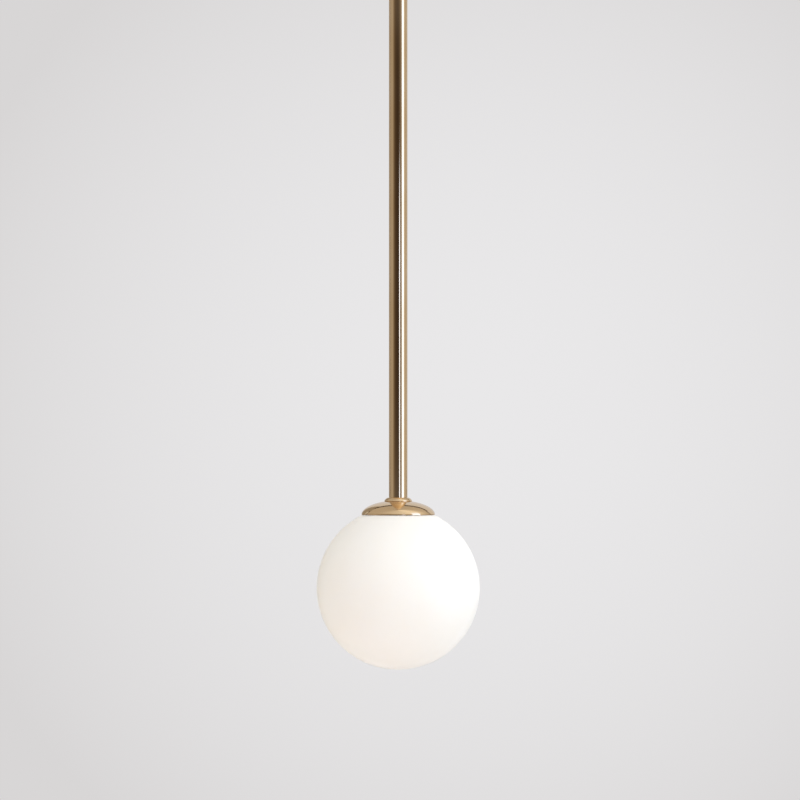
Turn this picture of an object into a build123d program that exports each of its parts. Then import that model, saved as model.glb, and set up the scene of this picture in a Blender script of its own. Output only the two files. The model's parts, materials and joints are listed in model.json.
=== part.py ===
"""Rigid stem pendant light: a blown opal globe screwed up under a spun brass dome, on a polished brass tube.

The tube hangs from a two-axis gimbal inside a sliding ceiling canopy, and the lamp is a plug-in G9 capsule.
Millimetres. The origin is the centre of the mounting plate's top face, on the ceiling, and +Z is up.
"""

import math
import os

from build123d import *

# Driving dimensions
GLOBE_R = 70.0
GLASS = 3.0
STEM_R = 8.0
STEM_WALL = 1.2
STEM_LENGTH = 600.0
CAP_R = 31.6
CAP_RISE = 12.4
CAP_WALL = 1.0
CANOPY_R = 50.0
CANOPY_RISE = 27.0
CANOPY_WALL = 1.2
SHADOW_GAP = 5.0
PLATE_R = 42.0
PLATE = 2.0
THREAD_PITCH = 2.4
CORE_R = 1.0

# Ceiling end
PIVOT_Z = -19.0
STEM_TOP = PIVOT_Z - 11.0
BORE_R = STEM_R - STEM_WALL
EAR_IN, EAR_OUT = 8.0, 10.0
PIN_R = 1.5
PIN_CLEARANCE = 0.05
YOKE_HALF_WIDTH = 4.5
FORK_HALF_WIDTH = 4.0
RING_R, RING_BORE_R, RING_HALF = 7.5, 4.3, 3.0
FLANGE_R, FLANGE = 11.0, 2.5
SLOT_REACH, SLOT_LENGTH, SLOT_R = 31.0, 12.0, 2.5
ENTRY_Y, ENTRY_R = -24.0, 9.0
RIVET_X, RIVET_R = 5.0, 1.5
EARTH_X, EARTH_Y, EARTH_R = -22.0, -20.0, 2.0

# Terminal block, between the yoke and the rim of the plate
BLOCK_Y = 27.0
BLOCK_SIZE = (20.0, 17.0, 13.0)
POLE_X, POLE_Z = 5.0, -9.0
BARREL_R, BARREL_BORE_R, BARREL_HALF = 3.3, 1.9, 6.5
CLAMP_R, CLAMP_Y = 1.25, 3.6
FIXING_R = 1.5

# Canopy, which slides on the stem
CANOPY_RIM = -SHADOW_GAP
CANOPY_BAND = 2.0
CANOPY_FLAT_R = 14.5
COLLAR_R, COLLAR_HEIGHT, COLLAR_ROUND = 12.0, 7.0, 2.6
SPIGOT_R, RING_NUT_R, RING_NUT = 10.0, 14.0, 1.5
LINER_R, LINER_BORE_R, LINER_LIP = 8.9, 8.06, 1.2
COLLAR_BORE_R = 8.3
GRUB_R, GRUB_DROP = 2.0, 3.1

# Globe end: heights are counted up from the rim of the dome
CAP_FLAT_R = 11.5
CAP_FLAT = CAP_RISE * math.sqrt(1 - (CAP_FLAT_R / CAP_R) ** 2)
FOOT_FLOOR = 1.0
FOOT_HEIGHT, FOOT_R, FOOT_TOP_R = 3.2, 11.9, 9.0
FOOT_LAND, FOOT_FLARE = 0.5, (10.74, 2.16)
RIM_Z = STEM_TOP - STEM_LENGTH - FOOT_FLOOR - CAP_FLAT
RIM_GAP = 0.3
RIM_LAND = 0.3
GLOBE_Z = RIM_Z - math.sqrt((GLOBE_R + RIM_GAP) ** 2 - (CAP_R - RIM_LAND) ** 2)
NIPPLE_R, NIPPLE_BORE_R = 5.0, 3.6
CUP_TOP, CUP_DISC = 8.4, 1.2
CUP_WALL_IN, CUP_WALL_OUT = 18.3, 19.6
CUP_FLANGE_R, CUP_FLANGE_LOW, CUP_FLANGE = 25.0, 2.9, 1.1
NECK_R, NECK_IN_R, NECK_TOP = 17.0, 14.2, 6.9
SHOULDER = 1.6
BRACKET, BRACKET_X, BRACKET_HALF, BRACKET_EYE_R = 1.0, 10.4, 5.0, 8.6
NUT_TOP, NUT_HEIGHT, NUT_FLATS = 5.5, 2.8, 14.0
NIPPLE_LOW = 1.2

# Lampholder and lamp, also counted from the rim
HOLDER_TOP, HOLDER_LOW, HOLDER_R = -10.0, -29.0, 9.8
HOLDER_SCREW_Z = -15.5
HOLDER_ENTRY_Y = 1.2
PIN_PITCH = 9.0
SLOT_DEPTH = 15.6
TAG_LEVEL, TAG_RING_Y, TAG_SLEEVE = -5.0, 2.2, 5.6
LAMP_TOP = HOLDER_LOW - 0.2
LAMP_LOW = -72.0
LAMP_R, LAMP_WALL = 8.5, 0.8
LAMP_BASE_LOW = -40.0
LAMP_PIN_R, LAMP_PIN_LEG, LAMP_PIN_UP = 0.55, 0.8, 14.5

# Three insulated cores in one sheath
SHEATH_R, CORE_BORE_R, CORE_RING = 3.1, 1.05, 1.5
SHEATH_TOP = PIVOT_Z + 3.5
SHEATH_LOW = RIM_Z + 0.2
CORES = {"live": 15.0, "neutral": 135.0, "earth": 255.0}


def solid_rod(radius, low, high, axis="Z", at=(0.0, 0.0)):
    """A cylinder along an axis, between two stations on it; `at` holds the other two coordinates in order."""
    middle = (low + high) / 2
    bar = Cylinder(radius, high - low)
    if axis == "X":
        return Pos(middle, at[0], at[1]) * Rot(0, 90, 0) * bar
    if axis == "Y":
        return Pos(at[0], middle, at[1]) * Rot(90, 0, 0) * bar
    return Pos(at[0], at[1], middle) * bar


def hollow_rod(radius, bore, low, high, axis="Z", at=(0.0, 0.0)):
    return solid_rod(radius, low, high, axis, at) - solid_rod(bore, low - 1, high + 1, axis, at)


def block(x_span, y_span, z_span):
    size = [span[1] - span[0] for span in (x_span, y_span, z_span)]
    centre = [(span[0] + span[1]) / 2 for span in (x_span, y_span, z_span)]
    return Pos(*centre) * Box(*size)


def turned(*edges):
    """Revolves a closed outline, drawn as (radius, height), about Z."""
    return revolve(Plane.XZ * make_face(Curve() + list(edges)), Axis.Z)


def group(*solids):
    return Compound(children=[s.solid() for s in solids])


def height_on_ellipse(radius, a, b):
    return b * math.sqrt(1 - (radius / a) ** 2)


def spun_dome(a, b, wall, flat_r, hole_r, band):
    """A spun shell that opens downwards: a straight band at the rim, a half-ellipse, and a flat crown with a hole."""
    flat = height_on_ellipse(flat_r, a, b)
    turn = math.degrees(math.acos(flat_r / a))
    inner_a, inner_b = a - wall, b - wall
    inner_turn = math.degrees(math.asin((flat - wall) / inner_b))
    outer = EllipticalCenterArc((0, 0), a, b, start_angle=0, arc_size=turn)
    inner = EllipticalCenterArc((0, 0), inner_a, inner_b, start_angle=0, arc_size=inner_turn)
    crown = Polyline(outer @ 1, (hole_r, flat), (hole_r, flat - wall), inner @ 1)
    if not band:
        return turned(outer, crown, inner, Line((inner_a, 0), (a, 0)))
    rim = Polyline((inner_a, 0), (inner_a, -band), (a, -band), (a, 0))
    return turned(outer, crown, inner, rim)


def rounded_ring(radius, top_r, bore, height, land):
    """A ring with a straight foot and a rounded shoulder that closes in to top_r."""
    shoulder = EllipticalCenterArc(
        (top_r, land), radius - top_r, height - land, start_angle=0, arc_size=90
    )
    outline = Polyline((top_r, height), (bore, height), (bore, 0), (radius, 0), (radius, land))
    return turned(shoulder, outline)


def helical_ridge(root_r, crest_r, low, turns, start_deg):
    """A thread ridge; a crest inside the root makes an internal one. `low` is the height of its middle at its start."""
    path = Helix(pitch=THREAD_PITCH, height=THREAD_PITCH * turns, radius=root_r)
    out = 1 if crest_r > root_r else -1
    depth, root, crest, bite = abs(crest_r - root_r), 0.55, 0.3, 0.25
    plane = Plane(origin=path @ 0, x_dir=(out, 0, 0), z_dir=path % 0)
    section = Polyline((-bite, -root), (0, -root), (depth, -crest), (depth, crest), (0, root), (-bite, root), close=True)
    ridge = sweep(plane * make_face(section), path=path, is_frenet=True)
    return Pos(0, 0, low) * Rot(0, 0, start_deg) * ridge


def cable(points, radii, radius=CORE_R):
    """An insulated core along straight runs joined by tangent arcs."""
    path = FilletPolyline(*points, radius=radii)
    return sweep(Plane(origin=path @ 0, z_dir=path % 0) * Circle(radius), path=path)


def core_place(name):
    turn = math.radians(CORES[name])
    return CORE_RING * math.cos(turn), CORE_RING * math.sin(turn)


# ---- ceiling mount ----


def mounting_plate():
    plate = solid_rod(PLATE_R, -PLATE, 0)
    for side in (-1, 1):
        plate -= Pos(side * SLOT_REACH, 0, 0) * extrude(SlotOverall(SLOT_LENGTH, 2 * SLOT_R), 3 * PLATE, both=True)
        plate -= solid_rod(RIVET_R, -PLATE - 1, 1, at=(side * RIVET_X, 0))
        plate -= Pos(side * RIVET_X, 0, -0.6) * Cone(RIVET_R, RIVET_R + 1.2, 1.2)
    plate -= solid_rod(ENTRY_R, -PLATE - 1, 1, at=(0, ENTRY_Y))
    plate -= solid_rod(EARTH_R, -PLATE - 1, 1, at=(EARTH_X, EARTH_Y))
    plate -= solid_rod(FIXING_R, -PLATE - 1, 1, at=(0, BLOCK_Y))
    return plate


def yoke():
    web_low, web_top = -2 * PLATE, -PLATE
    strap = block((-EAR_OUT, EAR_OUT), (-YOKE_HALF_WIDTH, YOKE_HALF_WIDTH), (web_low, web_top))
    for side in (-1, 1):
        span = sorted((side * EAR_IN, side * EAR_OUT))
        strap += block(span, (-YOKE_HALF_WIDTH, YOKE_HALF_WIDTH), (PIVOT_Z, web_top))
        strap += solid_rod(YOKE_HALF_WIDTH, *span, axis="X", at=(0, PIVOT_Z))
        strap -= solid_rod(RIVET_R, web_low - 1, web_top + 1, at=(side * RIVET_X, 0))
    return strap - solid_rod(PIN_R + PIN_CLEARANCE, -EAR_OUT - 1, EAR_OUT + 1, axis="X", at=(0, PIVOT_Z))


def yoke_rivets():
    """Two rivets, countersunk flush with the ceiling face and domed below the web."""
    sink = RIVET_R + 1.2
    dome = EllipticalCenterArc((0, -2 * PLATE), 2.6, 1.2, start_angle=-90, arc_size=90)
    outline = Polyline(
        dome @ 1, (RIVET_R, -2 * PLATE), (RIVET_R, -1.2), (sink, 0), (0, 0), dome @ 0
    )
    return group(*[Pos(side * RIVET_X, 0, 0) * turned(dome, outline) for side in (-1, 1)])


def terminal_block():
    x, y, z = BLOCK_SIZE
    low, top = -PLATE - z, -PLATE
    body = block((-x / 2, x / 2), (BLOCK_Y - y / 2, BLOCK_Y + y / 2), (low, top))
    body = fillet(body.edges().filter_by(Axis.Z), 1.5)
    for side in (-1, 1):
        body -= solid_rod(BARREL_R, BLOCK_Y - BARREL_HALF, BLOCK_Y + BARREL_HALF, "Y", (side * POLE_X, POLE_Z))
        body -= solid_rod(BARREL_BORE_R, BLOCK_Y - y, BLOCK_Y + y, "Y", (side * POLE_X, POLE_Z))
        for end in (-1, 1):
            body -= solid_rod(CLAMP_R + 0.6, low - 1, POLE_Z, at=(side * POLE_X, BLOCK_Y + end * CLAMP_Y))
    body -= solid_rod(FIXING_R + 0.1, low - 1, top + 1, at=(0, BLOCK_Y))
    # A saw-cut waist between the poles, where the strip can be parted
    for end in (-1, 1):
        edge = BLOCK_Y + end * y / 2
        body -= block((-0.6, 0.6), sorted((edge + end, edge - 3 * end)), (low - 1, top + 1))
    return body - solid_rod(2.9, low - 1, low + 1.8, at=(0, BLOCK_Y))


def terminal_barrels():
    barrels = []
    for side in (-1, 1):
        barrel = hollow_rod(
            BARREL_R, BARREL_BORE_R, BLOCK_Y - BARREL_HALF, BLOCK_Y + BARREL_HALF, "Y", (side * POLE_X, POLE_Z)
        )
        for end in (-1, 1):
            barrel -= solid_rod(CLAMP_R, POLE_Z - BARREL_R - 1, POLE_Z, at=(side * POLE_X, BLOCK_Y + end * CLAMP_Y))
        barrels.append(barrel)
    return group(*barrels)


def terminal_screws():
    """Slotted clamp screws: the two on the lamp side bear on their cores, and the supply side stands open."""
    low = -PLATE - BLOCK_SIZE[2] + 0.6
    screws = []
    for side in (-1, 1):
        for end, tip in ((-1, POLE_Z - CORE_R - 0.02), (1, POLE_Z - BARREL_BORE_R)):
            at = (side * POLE_X, BLOCK_Y + end * CLAMP_Y)
            foot = low if end < 0 else low - 0.3
            screw = solid_rod(CLAMP_R, foot, tip, at=at)
            slot = Pos(at[0], at[1], foot) * Box(0.5, 4, 1.2)
            screws.append(screw - slot)
    return group(*screws)


def terminal_fixing_screw():
    low = -PLATE - BLOCK_SIZE[2] + 0.1
    head = solid_rod(2.7, low, low + 1.7, at=(0, BLOCK_Y))
    head = fillet(head.edges().group_by(Axis.Z)[0], 0.6)
    screw = head + solid_rod(FIXING_R, low + 1.7, -0.4, at=(0, BLOCK_Y))
    return screw - Pos(0, BLOCK_Y, low) * Box(0.7, 6, 1.6)


def earth_screw():
    head_top = -PLATE - 1.6
    head = solid_rod(3.5, head_top - 2.4, head_top, at=(EARTH_X, EARTH_Y))
    head = fillet(head.edges().group_by(Axis.Z)[0], 1.0)
    screw = head + solid_rod(EARTH_R, head_top, -0.3, at=(EARTH_X, EARTH_Y))
    cross = Pos(EARTH_X, EARTH_Y, head_top - 2.4)
    return screw - cross * Box(0.9, 4.4, 2.4) - cross * Box(4.4, 0.9, 2.4)


def toothed_washer(outer, bore, low, high, teeth):
    """A lock washer with square notches round its outer edge."""
    washer = hollow_rod(outer, bore, low, high)
    notch = Pos(outer, 0, (low + high) / 2) * Box(1.4, 0.9, high - low + 1)
    for step in range(teeth):
        washer -= Rot(0, 0, step * 360 / teeth) * notch
    return washer


def earth_washer():
    return Pos(EARTH_X, EARTH_Y, 0) * toothed_washer(4.2, EARTH_R + 0.1, -PLATE - 0.8, -PLATE, 12)


def earth_direction():
    """Unit vector in plan from the earth screw towards the middle of the plate."""
    reach = math.hypot(EARTH_X, EARTH_Y)
    return -EARTH_X / reach, -EARTH_Y / reach


EARTH_BARREL = (3.6, 10.0)
EARTH_BARREL_Z = -PLATE - 0.8 - 1.7


def earth_lug():
    u = earth_direction()
    turn = math.degrees(math.atan2(u[1], u[0]))
    top = -PLATE - 0.8
    tongue = hollow_rod(3.8, EARTH_R + 0.1, top - 0.8, top) + block((3.2, 4.6), (-1.6, 1.6), (top - 0.8, top))
    sleeve = hollow_rod(1.7, CORE_R, *EARTH_BARREL, axis="X", at=(0, EARTH_BARREL_Z))
    return Pos(EARTH_X, EARTH_Y, 0) * Rot(0, 0, turn) * (tongue + sleeve)


def head_core(name):
    """The loose end of a core, from the sheath over to its clamp."""
    x, y = core_place(name)
    turn_z = -9.5
    start, over = (x, y, SHEATH_TOP), (x, y, turn_z)
    if name == "earth":
        u = earth_direction()
        near, far = [(EARTH_X + u[0] * r, EARTH_Y + u[1] * r, EARTH_BARREL_Z) for r in (15.8, 4.7)]
        return cable([start, over, near, far], [5.0, 8.0])
    side = math.copysign(POLE_X, x)
    near = (side, BLOCK_Y - BLOCK_SIZE[1] / 2 - 4.5, POLE_Z)
    far = (side, BLOCK_Y - 1.5, POLE_Z)
    return cable([start, over, near, far], [5.0, 8.0])


# ---- gimbal ----


def gimbal_ring():
    ring = hollow_rod(RING_R, RING_BORE_R, PIVOT_Z - RING_HALF, PIVOT_Z + RING_HALF)
    for axis in "XY":
        ring -= solid_rod(PIN_R, -RING_R - 1, RING_R + 1, axis, (0, PIVOT_Z))
    return ring


def gimbal_pins():
    inner, outer = RING_BORE_R + 0.4, EAR_OUT + 0.5
    pins = [
        solid_rod(PIN_R, *sorted((side * inner, side * outer)), axis=axis, at=(0, PIVOT_Z))
        for axis in "XY"
        for side in (-1, 1)
    ]
    return group(*pins)


# ---- stem ----


def stem_head():
    """Forked head brazed into the top of the tube; its ears carry the second pair of gimbal pins."""
    head = solid_rod(BORE_R, STEM_TOP - 12, STEM_TOP) + solid_rod(FLANGE_R, STEM_TOP, STEM_TOP + FLANGE)
    for side in (-1, 1):
        span = sorted((side * EAR_IN, side * EAR_OUT))
        head += block((-FORK_HALF_WIDTH, FORK_HALF_WIDTH), span, (STEM_TOP + FLANGE - 0.5, PIVOT_Z))
        head += solid_rod(FORK_HALF_WIDTH, *span, axis="Y", at=(0, PIVOT_Z))
    head -= solid_rod(PIN_R + PIN_CLEARANCE, -EAR_OUT - 1, EAR_OUT + 1, axis="Y", at=(0, PIVOT_Z))
    return head - solid_rod(NIPPLE_BORE_R, STEM_TOP - 13, STEM_TOP + FLANGE + 1)


def stem_tube():
    return hollow_rod(STEM_R, BORE_R, STEM_TOP - STEM_LENGTH, STEM_TOP)


def stem_foot_bush():
    low = STEM_TOP - STEM_LENGTH
    return hollow_rod(BORE_R, NIPPLE_R, low, low + 14)


def nipple():
    return hollow_rod(NIPPLE_R, NIPPLE_BORE_R, RIM_Z + NIPPLE_LOW, STEM_TOP - STEM_LENGTH + 12)


def flex_sheath():
    sheath = solid_rod(SHEATH_R, SHEATH_LOW, SHEATH_TOP)
    for name in CORES:
        sheath -= solid_rod(CORE_BORE_R, SHEATH_LOW - 1, SHEATH_TOP + 1, at=core_place(name))
    return sheath


def stem_core(name):
    """A core from the top of the sheath, down the stem and out to the lampholder or the earth tag."""
    x, y = core_place(name)
    if name == "earth":
        level = RIM_Z + TAG_LEVEL
        return cable([(x, y, SHEATH_TOP), (x, y, level), (-TAG_SLEEVE - 2.9, y, level)], [4.0])
    side = math.copysign(PIN_PITCH / 2, x)
    foot = RIM_Z + HOLDER_LOW + SLOT_DEPTH - 0.15
    bend, entry = (x, y, RIM_Z - 2.0), (side, HOLDER_ENTRY_Y, RIM_Z - 8.0)
    return cable([(x, y, SHEATH_TOP), bend, entry, (*entry[:2], foot)], [6.0, 5.5])


def foot_collar():
    """The turned, flared ring between the tube and the dome; the tube stands in it on a thin floor."""
    flare = ThreePointArc((FOOT_R, FOOT_LAND), FOOT_FLARE, (FOOT_TOP_R, FOOT_HEIGHT))
    outline = Polyline((FOOT_TOP_R, FOOT_HEIGHT), (NIPPLE_R, FOOT_HEIGHT), (NIPPLE_R, 0), (FOOT_R, 0), (FOOT_R, FOOT_LAND))
    ring = turned(flare, outline)
    socket = solid_rod(STEM_R, FOOT_FLOOR, FOOT_HEIGHT + 1)
    return Pos(0, 0, RIM_Z + CAP_FLAT) * (ring - socket)


def globe_cap():
    """The spun dome, its rim relieved to follow the glass."""
    dome = Pos(0, 0, RIM_Z) * spun_dome(CAP_R, CAP_RISE, CAP_WALL, CAP_FLAT_R, NIPPLE_R, 0)
    return dome - Pos(0, 0, GLOBE_Z) * Sphere(GLOBE_R + RIM_GAP)


def cap_spacer():
    return hollow_rod(9.0, NIPPLE_R, RIM_Z + CUP_TOP, RIM_Z + CAP_FLAT - CAP_WALL)


def fitter_cup():
    """The pressed cup with the internal thread that takes the neck of the globe."""
    disc_low = CUP_TOP - CUP_DISC
    cup = hollow_rod(CUP_WALL_OUT, NIPPLE_R, disc_low, CUP_TOP)
    cup += hollow_rod(CUP_WALL_OUT, CUP_WALL_IN, CUP_FLANGE_LOW, disc_low + 0.1)
    cup += hollow_rod(CUP_FLANGE_R, CUP_WALL_IN, CUP_FLANGE_LOW, CUP_FLANGE_LOW + CUP_FLANGE)
    cup += helical_ridge(CUP_WALL_IN, CUP_WALL_IN - 0.95, 3.58, 1.0, 162)
    return Pos(0, 0, RIM_Z) * cup


def holder_bracket():
    """A strap held by the lock nut; its arms reach down either side of the lampholder."""
    top = CUP_TOP - CUP_DISC
    strap = block((-BRACKET_X, BRACKET_X), (-BRACKET_HALF, BRACKET_HALF), (top - BRACKET, top))
    strap += solid_rod(BRACKET_EYE_R, top - BRACKET, top)
    for side in (-1, 1):
        span = sorted((side * BRACKET_X, side * (BRACKET_X - BRACKET)))
        strap += block(span, (-BRACKET_HALF, BRACKET_HALF), (HOLDER_SCREW_Z, top))
        strap += solid_rod(BRACKET_HALF, *span, axis="X", at=(0, HOLDER_SCREW_Z))
    strap -= solid_rod(1.25, -BRACKET_X - 1, BRACKET_X + 1, axis="X", at=(0, HOLDER_SCREW_Z))
    strap -= solid_rod(1.25, -BRACKET_X - 1, 0, axis="X", at=(TAG_RING_Y, TAG_LEVEL))
    return Pos(0, 0, RIM_Z) * (strap - solid_rod(NIPPLE_R, top - 2, top + 1))


def lock_washer():
    return Pos(0, 0, RIM_Z) * toothed_washer(BRACKET_EYE_R, NIPPLE_R, NUT_TOP, CUP_TOP - CUP_DISC - BRACKET, 16)


def hex_nut(flats, bore, low, high):
    prism = Pos(0, 0, low) * extrude(RegularPolygon(flats / 2, 6, major_radius=False), high - low)
    corner = math.hypot(flats / 2, flats / 2 * math.tan(math.pi / 6))
    chamfered = solid_rod(corner - 0.1, low, high)
    chamfered = chamfer(chamfered.edges(), 0.5)
    return (prism & chamfered) - solid_rod(bore, low - 1, high + 1)


def lock_nut():
    return Pos(0, 0, RIM_Z) * hex_nut(NUT_FLATS, NIPPLE_R, NUT_TOP - NUT_HEIGHT, NUT_TOP)


def earth_tag():
    """Ring tag on the arm of the bracket, with its crimp turned in towards the cable."""
    level = RIM_Z + TAG_LEVEL
    face = -BRACKET_X + BRACKET
    core_y = core_place("earth")[1]
    tag = solid_rod(2.7, face, face + 0.6, "X", (TAG_RING_Y, level))
    tag += block((face, face + 0.6), (core_y - 1.4, TAG_RING_Y), (level - 1.4, level + 1.4))
    tag -= solid_rod(1.25, face - 1, face + 2, "X", (TAG_RING_Y, level))
    return tag + hollow_rod(1.5, CORE_R, face + 0.6, -TAG_SLEEVE, "X", (core_y, level))


def earth_tag_screw():
    at = (TAG_RING_Y, RIM_Z + TAG_LEVEL)
    seat = -BRACKET_X + BRACKET + 0.6
    screw = solid_rod(2.0, seat, seat + 1.5, "X", at) + solid_rod(1.25, -BRACKET_X - 1.2, seat, "X", at)
    return screw - Pos(seat + 1.5, *at) * Box(1.4, 0.6, 5)


def holder_body():
    """The steatite lampholder, with a slot below for each lamp pin and a hole above for each core."""
    top, low, screw = RIM_Z + HOLDER_TOP, RIM_Z + HOLDER_LOW, RIM_Z + HOLDER_SCREW_Z
    body = solid_rod(HOLDER_R, low, top)
    body = chamfer(body.edges().filter_by(GeomType.CIRCLE), 0.8)
    for side in (-1, 1):
        x = side * PIN_PITCH / 2
        body -= block((x - 1.7, x + 1.7), (-2.4, 2.4), (low - 1, low + SLOT_DEPTH))
        body -= solid_rod(CORE_R + 0.05, low + SLOT_DEPTH - 1, top + 1, at=(x, HOLDER_ENTRY_Y))
        body -= solid_rod(1.25, *sorted((side * 20, side * (HOLDER_R - 3.2))), axis="X", at=(0, screw))
        flat = sorted((side * 20, side * (BRACKET_X - BRACKET)))
        body -= block(flat, (-HOLDER_R, HOLDER_R), (screw - BRACKET_HALF - 0.5, top + 1))
    return body


def holder_contacts():
    """A folded bronze spring in each slot, one leaf on each side of the pin."""
    low, top = RIM_Z + HOLDER_LOW + 3.0, RIM_Z + HOLDER_LOW + SLOT_DEPTH - 0.2
    contacts = []
    for side in (-1, 1):
        x = side * PIN_PITCH / 2
        spring = block((x - 1.5, x + 1.5), (-2, 2), (top - 0.4, top))
        for leaf in (-1, 1):
            strip = block(sorted((x + leaf * 0.65, x + leaf * 1.5)), (-2, 2), (low, top))
            nose = Pos(x + leaf * 1.1, 0, low + 3.5) * Rot(90, 0, 0) * Cylinder(0.45, 4)
            spring += block(sorted((x + leaf * 1.1, x + leaf * 1.5)), (-2, 2), (low, top)) + (nose & strip)
        contacts.append(spring)
    return group(*contacts)


def holder_screws():
    screws = []
    for side in (-1, 1):
        tip, face, end = side * (HOLDER_R - 3.0), side * BRACKET_X, side * (BRACKET_X + 1.6)
        at = (0, RIM_Z + HOLDER_SCREW_Z)
        screw = solid_rod(1.25, *sorted((tip, face)), axis="X", at=at)
        screw += solid_rod(2.4, *sorted((face, end)), axis="X", at=at)
        screws.append(screw - Pos(end, *at) * Box(1.6, 0.6, 6))
    return group(*screws)


# ---- canopy ----


def canopy_crown():
    """Height of the canopy's flat crown, its lowest outer face."""
    return CANOPY_RIM - CANOPY_BAND - height_on_ellipse(CANOPY_FLAT_R, CANOPY_R, CANOPY_RISE)


def canopy_shell():
    dome = spun_dome(CANOPY_R, CANOPY_RISE, CANOPY_WALL, CANOPY_FLAT_R, SPIGOT_R, CANOPY_BAND)
    return Pos(0, 0, CANOPY_RIM - CANOPY_BAND) * Rot(180, 0, 0) * dome


def spigot_top():
    return canopy_crown() + CANOPY_WALL + RING_NUT


def grub_height():
    return canopy_crown() - GRUB_DROP


def liner_low():
    return canopy_crown() - COLLAR_HEIGHT + LINER_LIP


def canopy_collar():
    ring = rounded_ring(COLLAR_R, COLLAR_R - COLLAR_ROUND, COLLAR_BORE_R, COLLAR_HEIGHT, 3.4)
    collar = Pos(0, 0, canopy_crown()) * Rot(180, 0, 0) * ring
    collar += hollow_rod(SPIGOT_R, COLLAR_BORE_R, canopy_crown(), spigot_top())
    collar -= solid_rod(LINER_R, liner_low(), spigot_top() + 1)
    return collar - solid_rod(GRUB_R, 0, COLLAR_R + 1, "Y", (0, grub_height()))


def canopy_liner():
    liner = hollow_rod(LINER_R, LINER_BORE_R, liner_low(), spigot_top())
    return liner - solid_rod(GRUB_R, 0, COLLAR_R, "Y", (0, grub_height()))


def canopy_ring_nut():
    low = canopy_crown() + CANOPY_WALL
    nut = hollow_rod(RING_NUT_R, SPIGOT_R, low, spigot_top())
    notch = Pos(RING_NUT_R, 0, low + RING_NUT / 2) * Box(3, 3, 2 * RING_NUT)
    for step in range(4):
        nut -= Rot(0, 0, step * 90) * notch
    return nut


def canopy_grub_screw():
    outer = COLLAR_R - 0.5
    screw = solid_rod(GRUB_R, STEM_R + 0.1, outer, "Y", (0, grub_height()))
    socket = Pos(0, outer, grub_height()) * Rot(90, 0, 0) * extrude(RegularPolygon(1.15, 6), 2.0)
    return screw - socket


# ---- globe and lamp ----


def seal_ring():
    return hollow_rod(CUP_FLANGE_R, NECK_R + 1.7, RIM_Z + SHOULDER + 0.1, RIM_Z + CUP_FLANGE_LOW - 0.2)


def globe_glass():
    """Blown opal globe: a sphere with a flat shoulder and a short threaded neck."""
    rim = RIM_Z - GLOBE_Z
    shoulder, under, top = rim + SHOULDER, rim + SHOULDER - GLASS, rim + NECK_TOP
    inner_r = GLOBE_R - GLASS
    root, lip = 1.0, 0.8
    outer_turn = math.degrees(math.asin(shoulder / GLOBE_R))
    inner_turn = math.degrees(math.asin(under / inner_r))
    outside = CenterArc((0, 0), GLOBE_R, -90, 90 + outer_turn)
    inside = CenterArc((0, 0), inner_r, -90, 90 + inner_turn)
    glass = turned(
        outside,
        Line(outside @ 1, (NECK_R + root, shoulder)),
        CenterArc((NECK_R + root, shoulder + root), root, 180, 90),
        Line((NECK_R, shoulder + root), (NECK_R, top - lip)),
        CenterArc((NECK_R - lip, top - lip), lip, 0, 90),
        Line((NECK_R - lip, top), (NECK_IN_R + lip, top)),
        CenterArc((NECK_IN_R + lip, top - lip), lip, 90, 90),
        Line((NECK_IN_R, top - lip), (NECK_IN_R, under + lip)),
        CenterArc((NECK_IN_R + lip, under + lip), lip, 180, 90),
        Line((NECK_IN_R + lip, under), inside @ 1),
        inside,
        Line((0, -inner_r), (0, -GLOBE_R)),
    )
    glass += helical_ridge(NECK_R, NECK_R + 0.9, rim + 3.7, 0.95, 0)
    return Pos(0, 0, GLOBE_Z) * glass


def lamp_base():
    """Moulded lamp foot: a flat pinch that meets the holder, swelling to the round of the envelope."""
    top, low = RIM_Z + LAMP_TOP, RIM_Z + LAMP_BASE_LOW
    pinch = block((-7, 7), (-3.4, 3.4), (top - 5, top))
    pinch = fillet(pinch.edges().filter_by(Axis.Z), 2.0)
    shoulder = Pos(0, 0, top - 4.6) * Rot(180, 0, 0) * turned(
        EllipticalCenterArc((0, 3.4), LAMP_R, 3.4, start_angle=-90, arc_size=90),
        Polyline((LAMP_R, 3.4), (LAMP_R, top - 4.6 - low), (0, top - 4.6 - low), (0, 0)),
    )
    base = pinch + shoulder
    for side in (-1, 1):
        for leg in (-1, 1):
            base -= solid_rod(LAMP_PIN_R, top - 3, top + 1, at=(side * PIN_PITCH / 2, leg * LAMP_PIN_LEG))
    return base - solid_rod(LAMP_R - LAMP_WALL, low - 1, low + 2)


def lamp_pins():
    """Two looped wire pins."""
    pins = []
    bend = RIM_Z + LAMP_TOP + LAMP_PIN_UP - LAMP_PIN_LEG - LAMP_PIN_R
    low = RIM_Z + LAMP_TOP - 3
    for side in (-1, 1):
        x = side * PIN_PITCH / 2
        loop = Plane.YZ.offset(x) * (
            Line((-LAMP_PIN_LEG, low), (-LAMP_PIN_LEG, bend))
            + CenterArc((0, bend), LAMP_PIN_LEG, 180, -180)
            + Line((LAMP_PIN_LEG, bend), (LAMP_PIN_LEG, low))
        )
        section = Plane(origin=(x, -LAMP_PIN_LEG, low), z_dir=(0, 0, 1)) * Circle(LAMP_PIN_R)
        pins.append(sweep(section, path=loop))
    return group(*pins)


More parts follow.
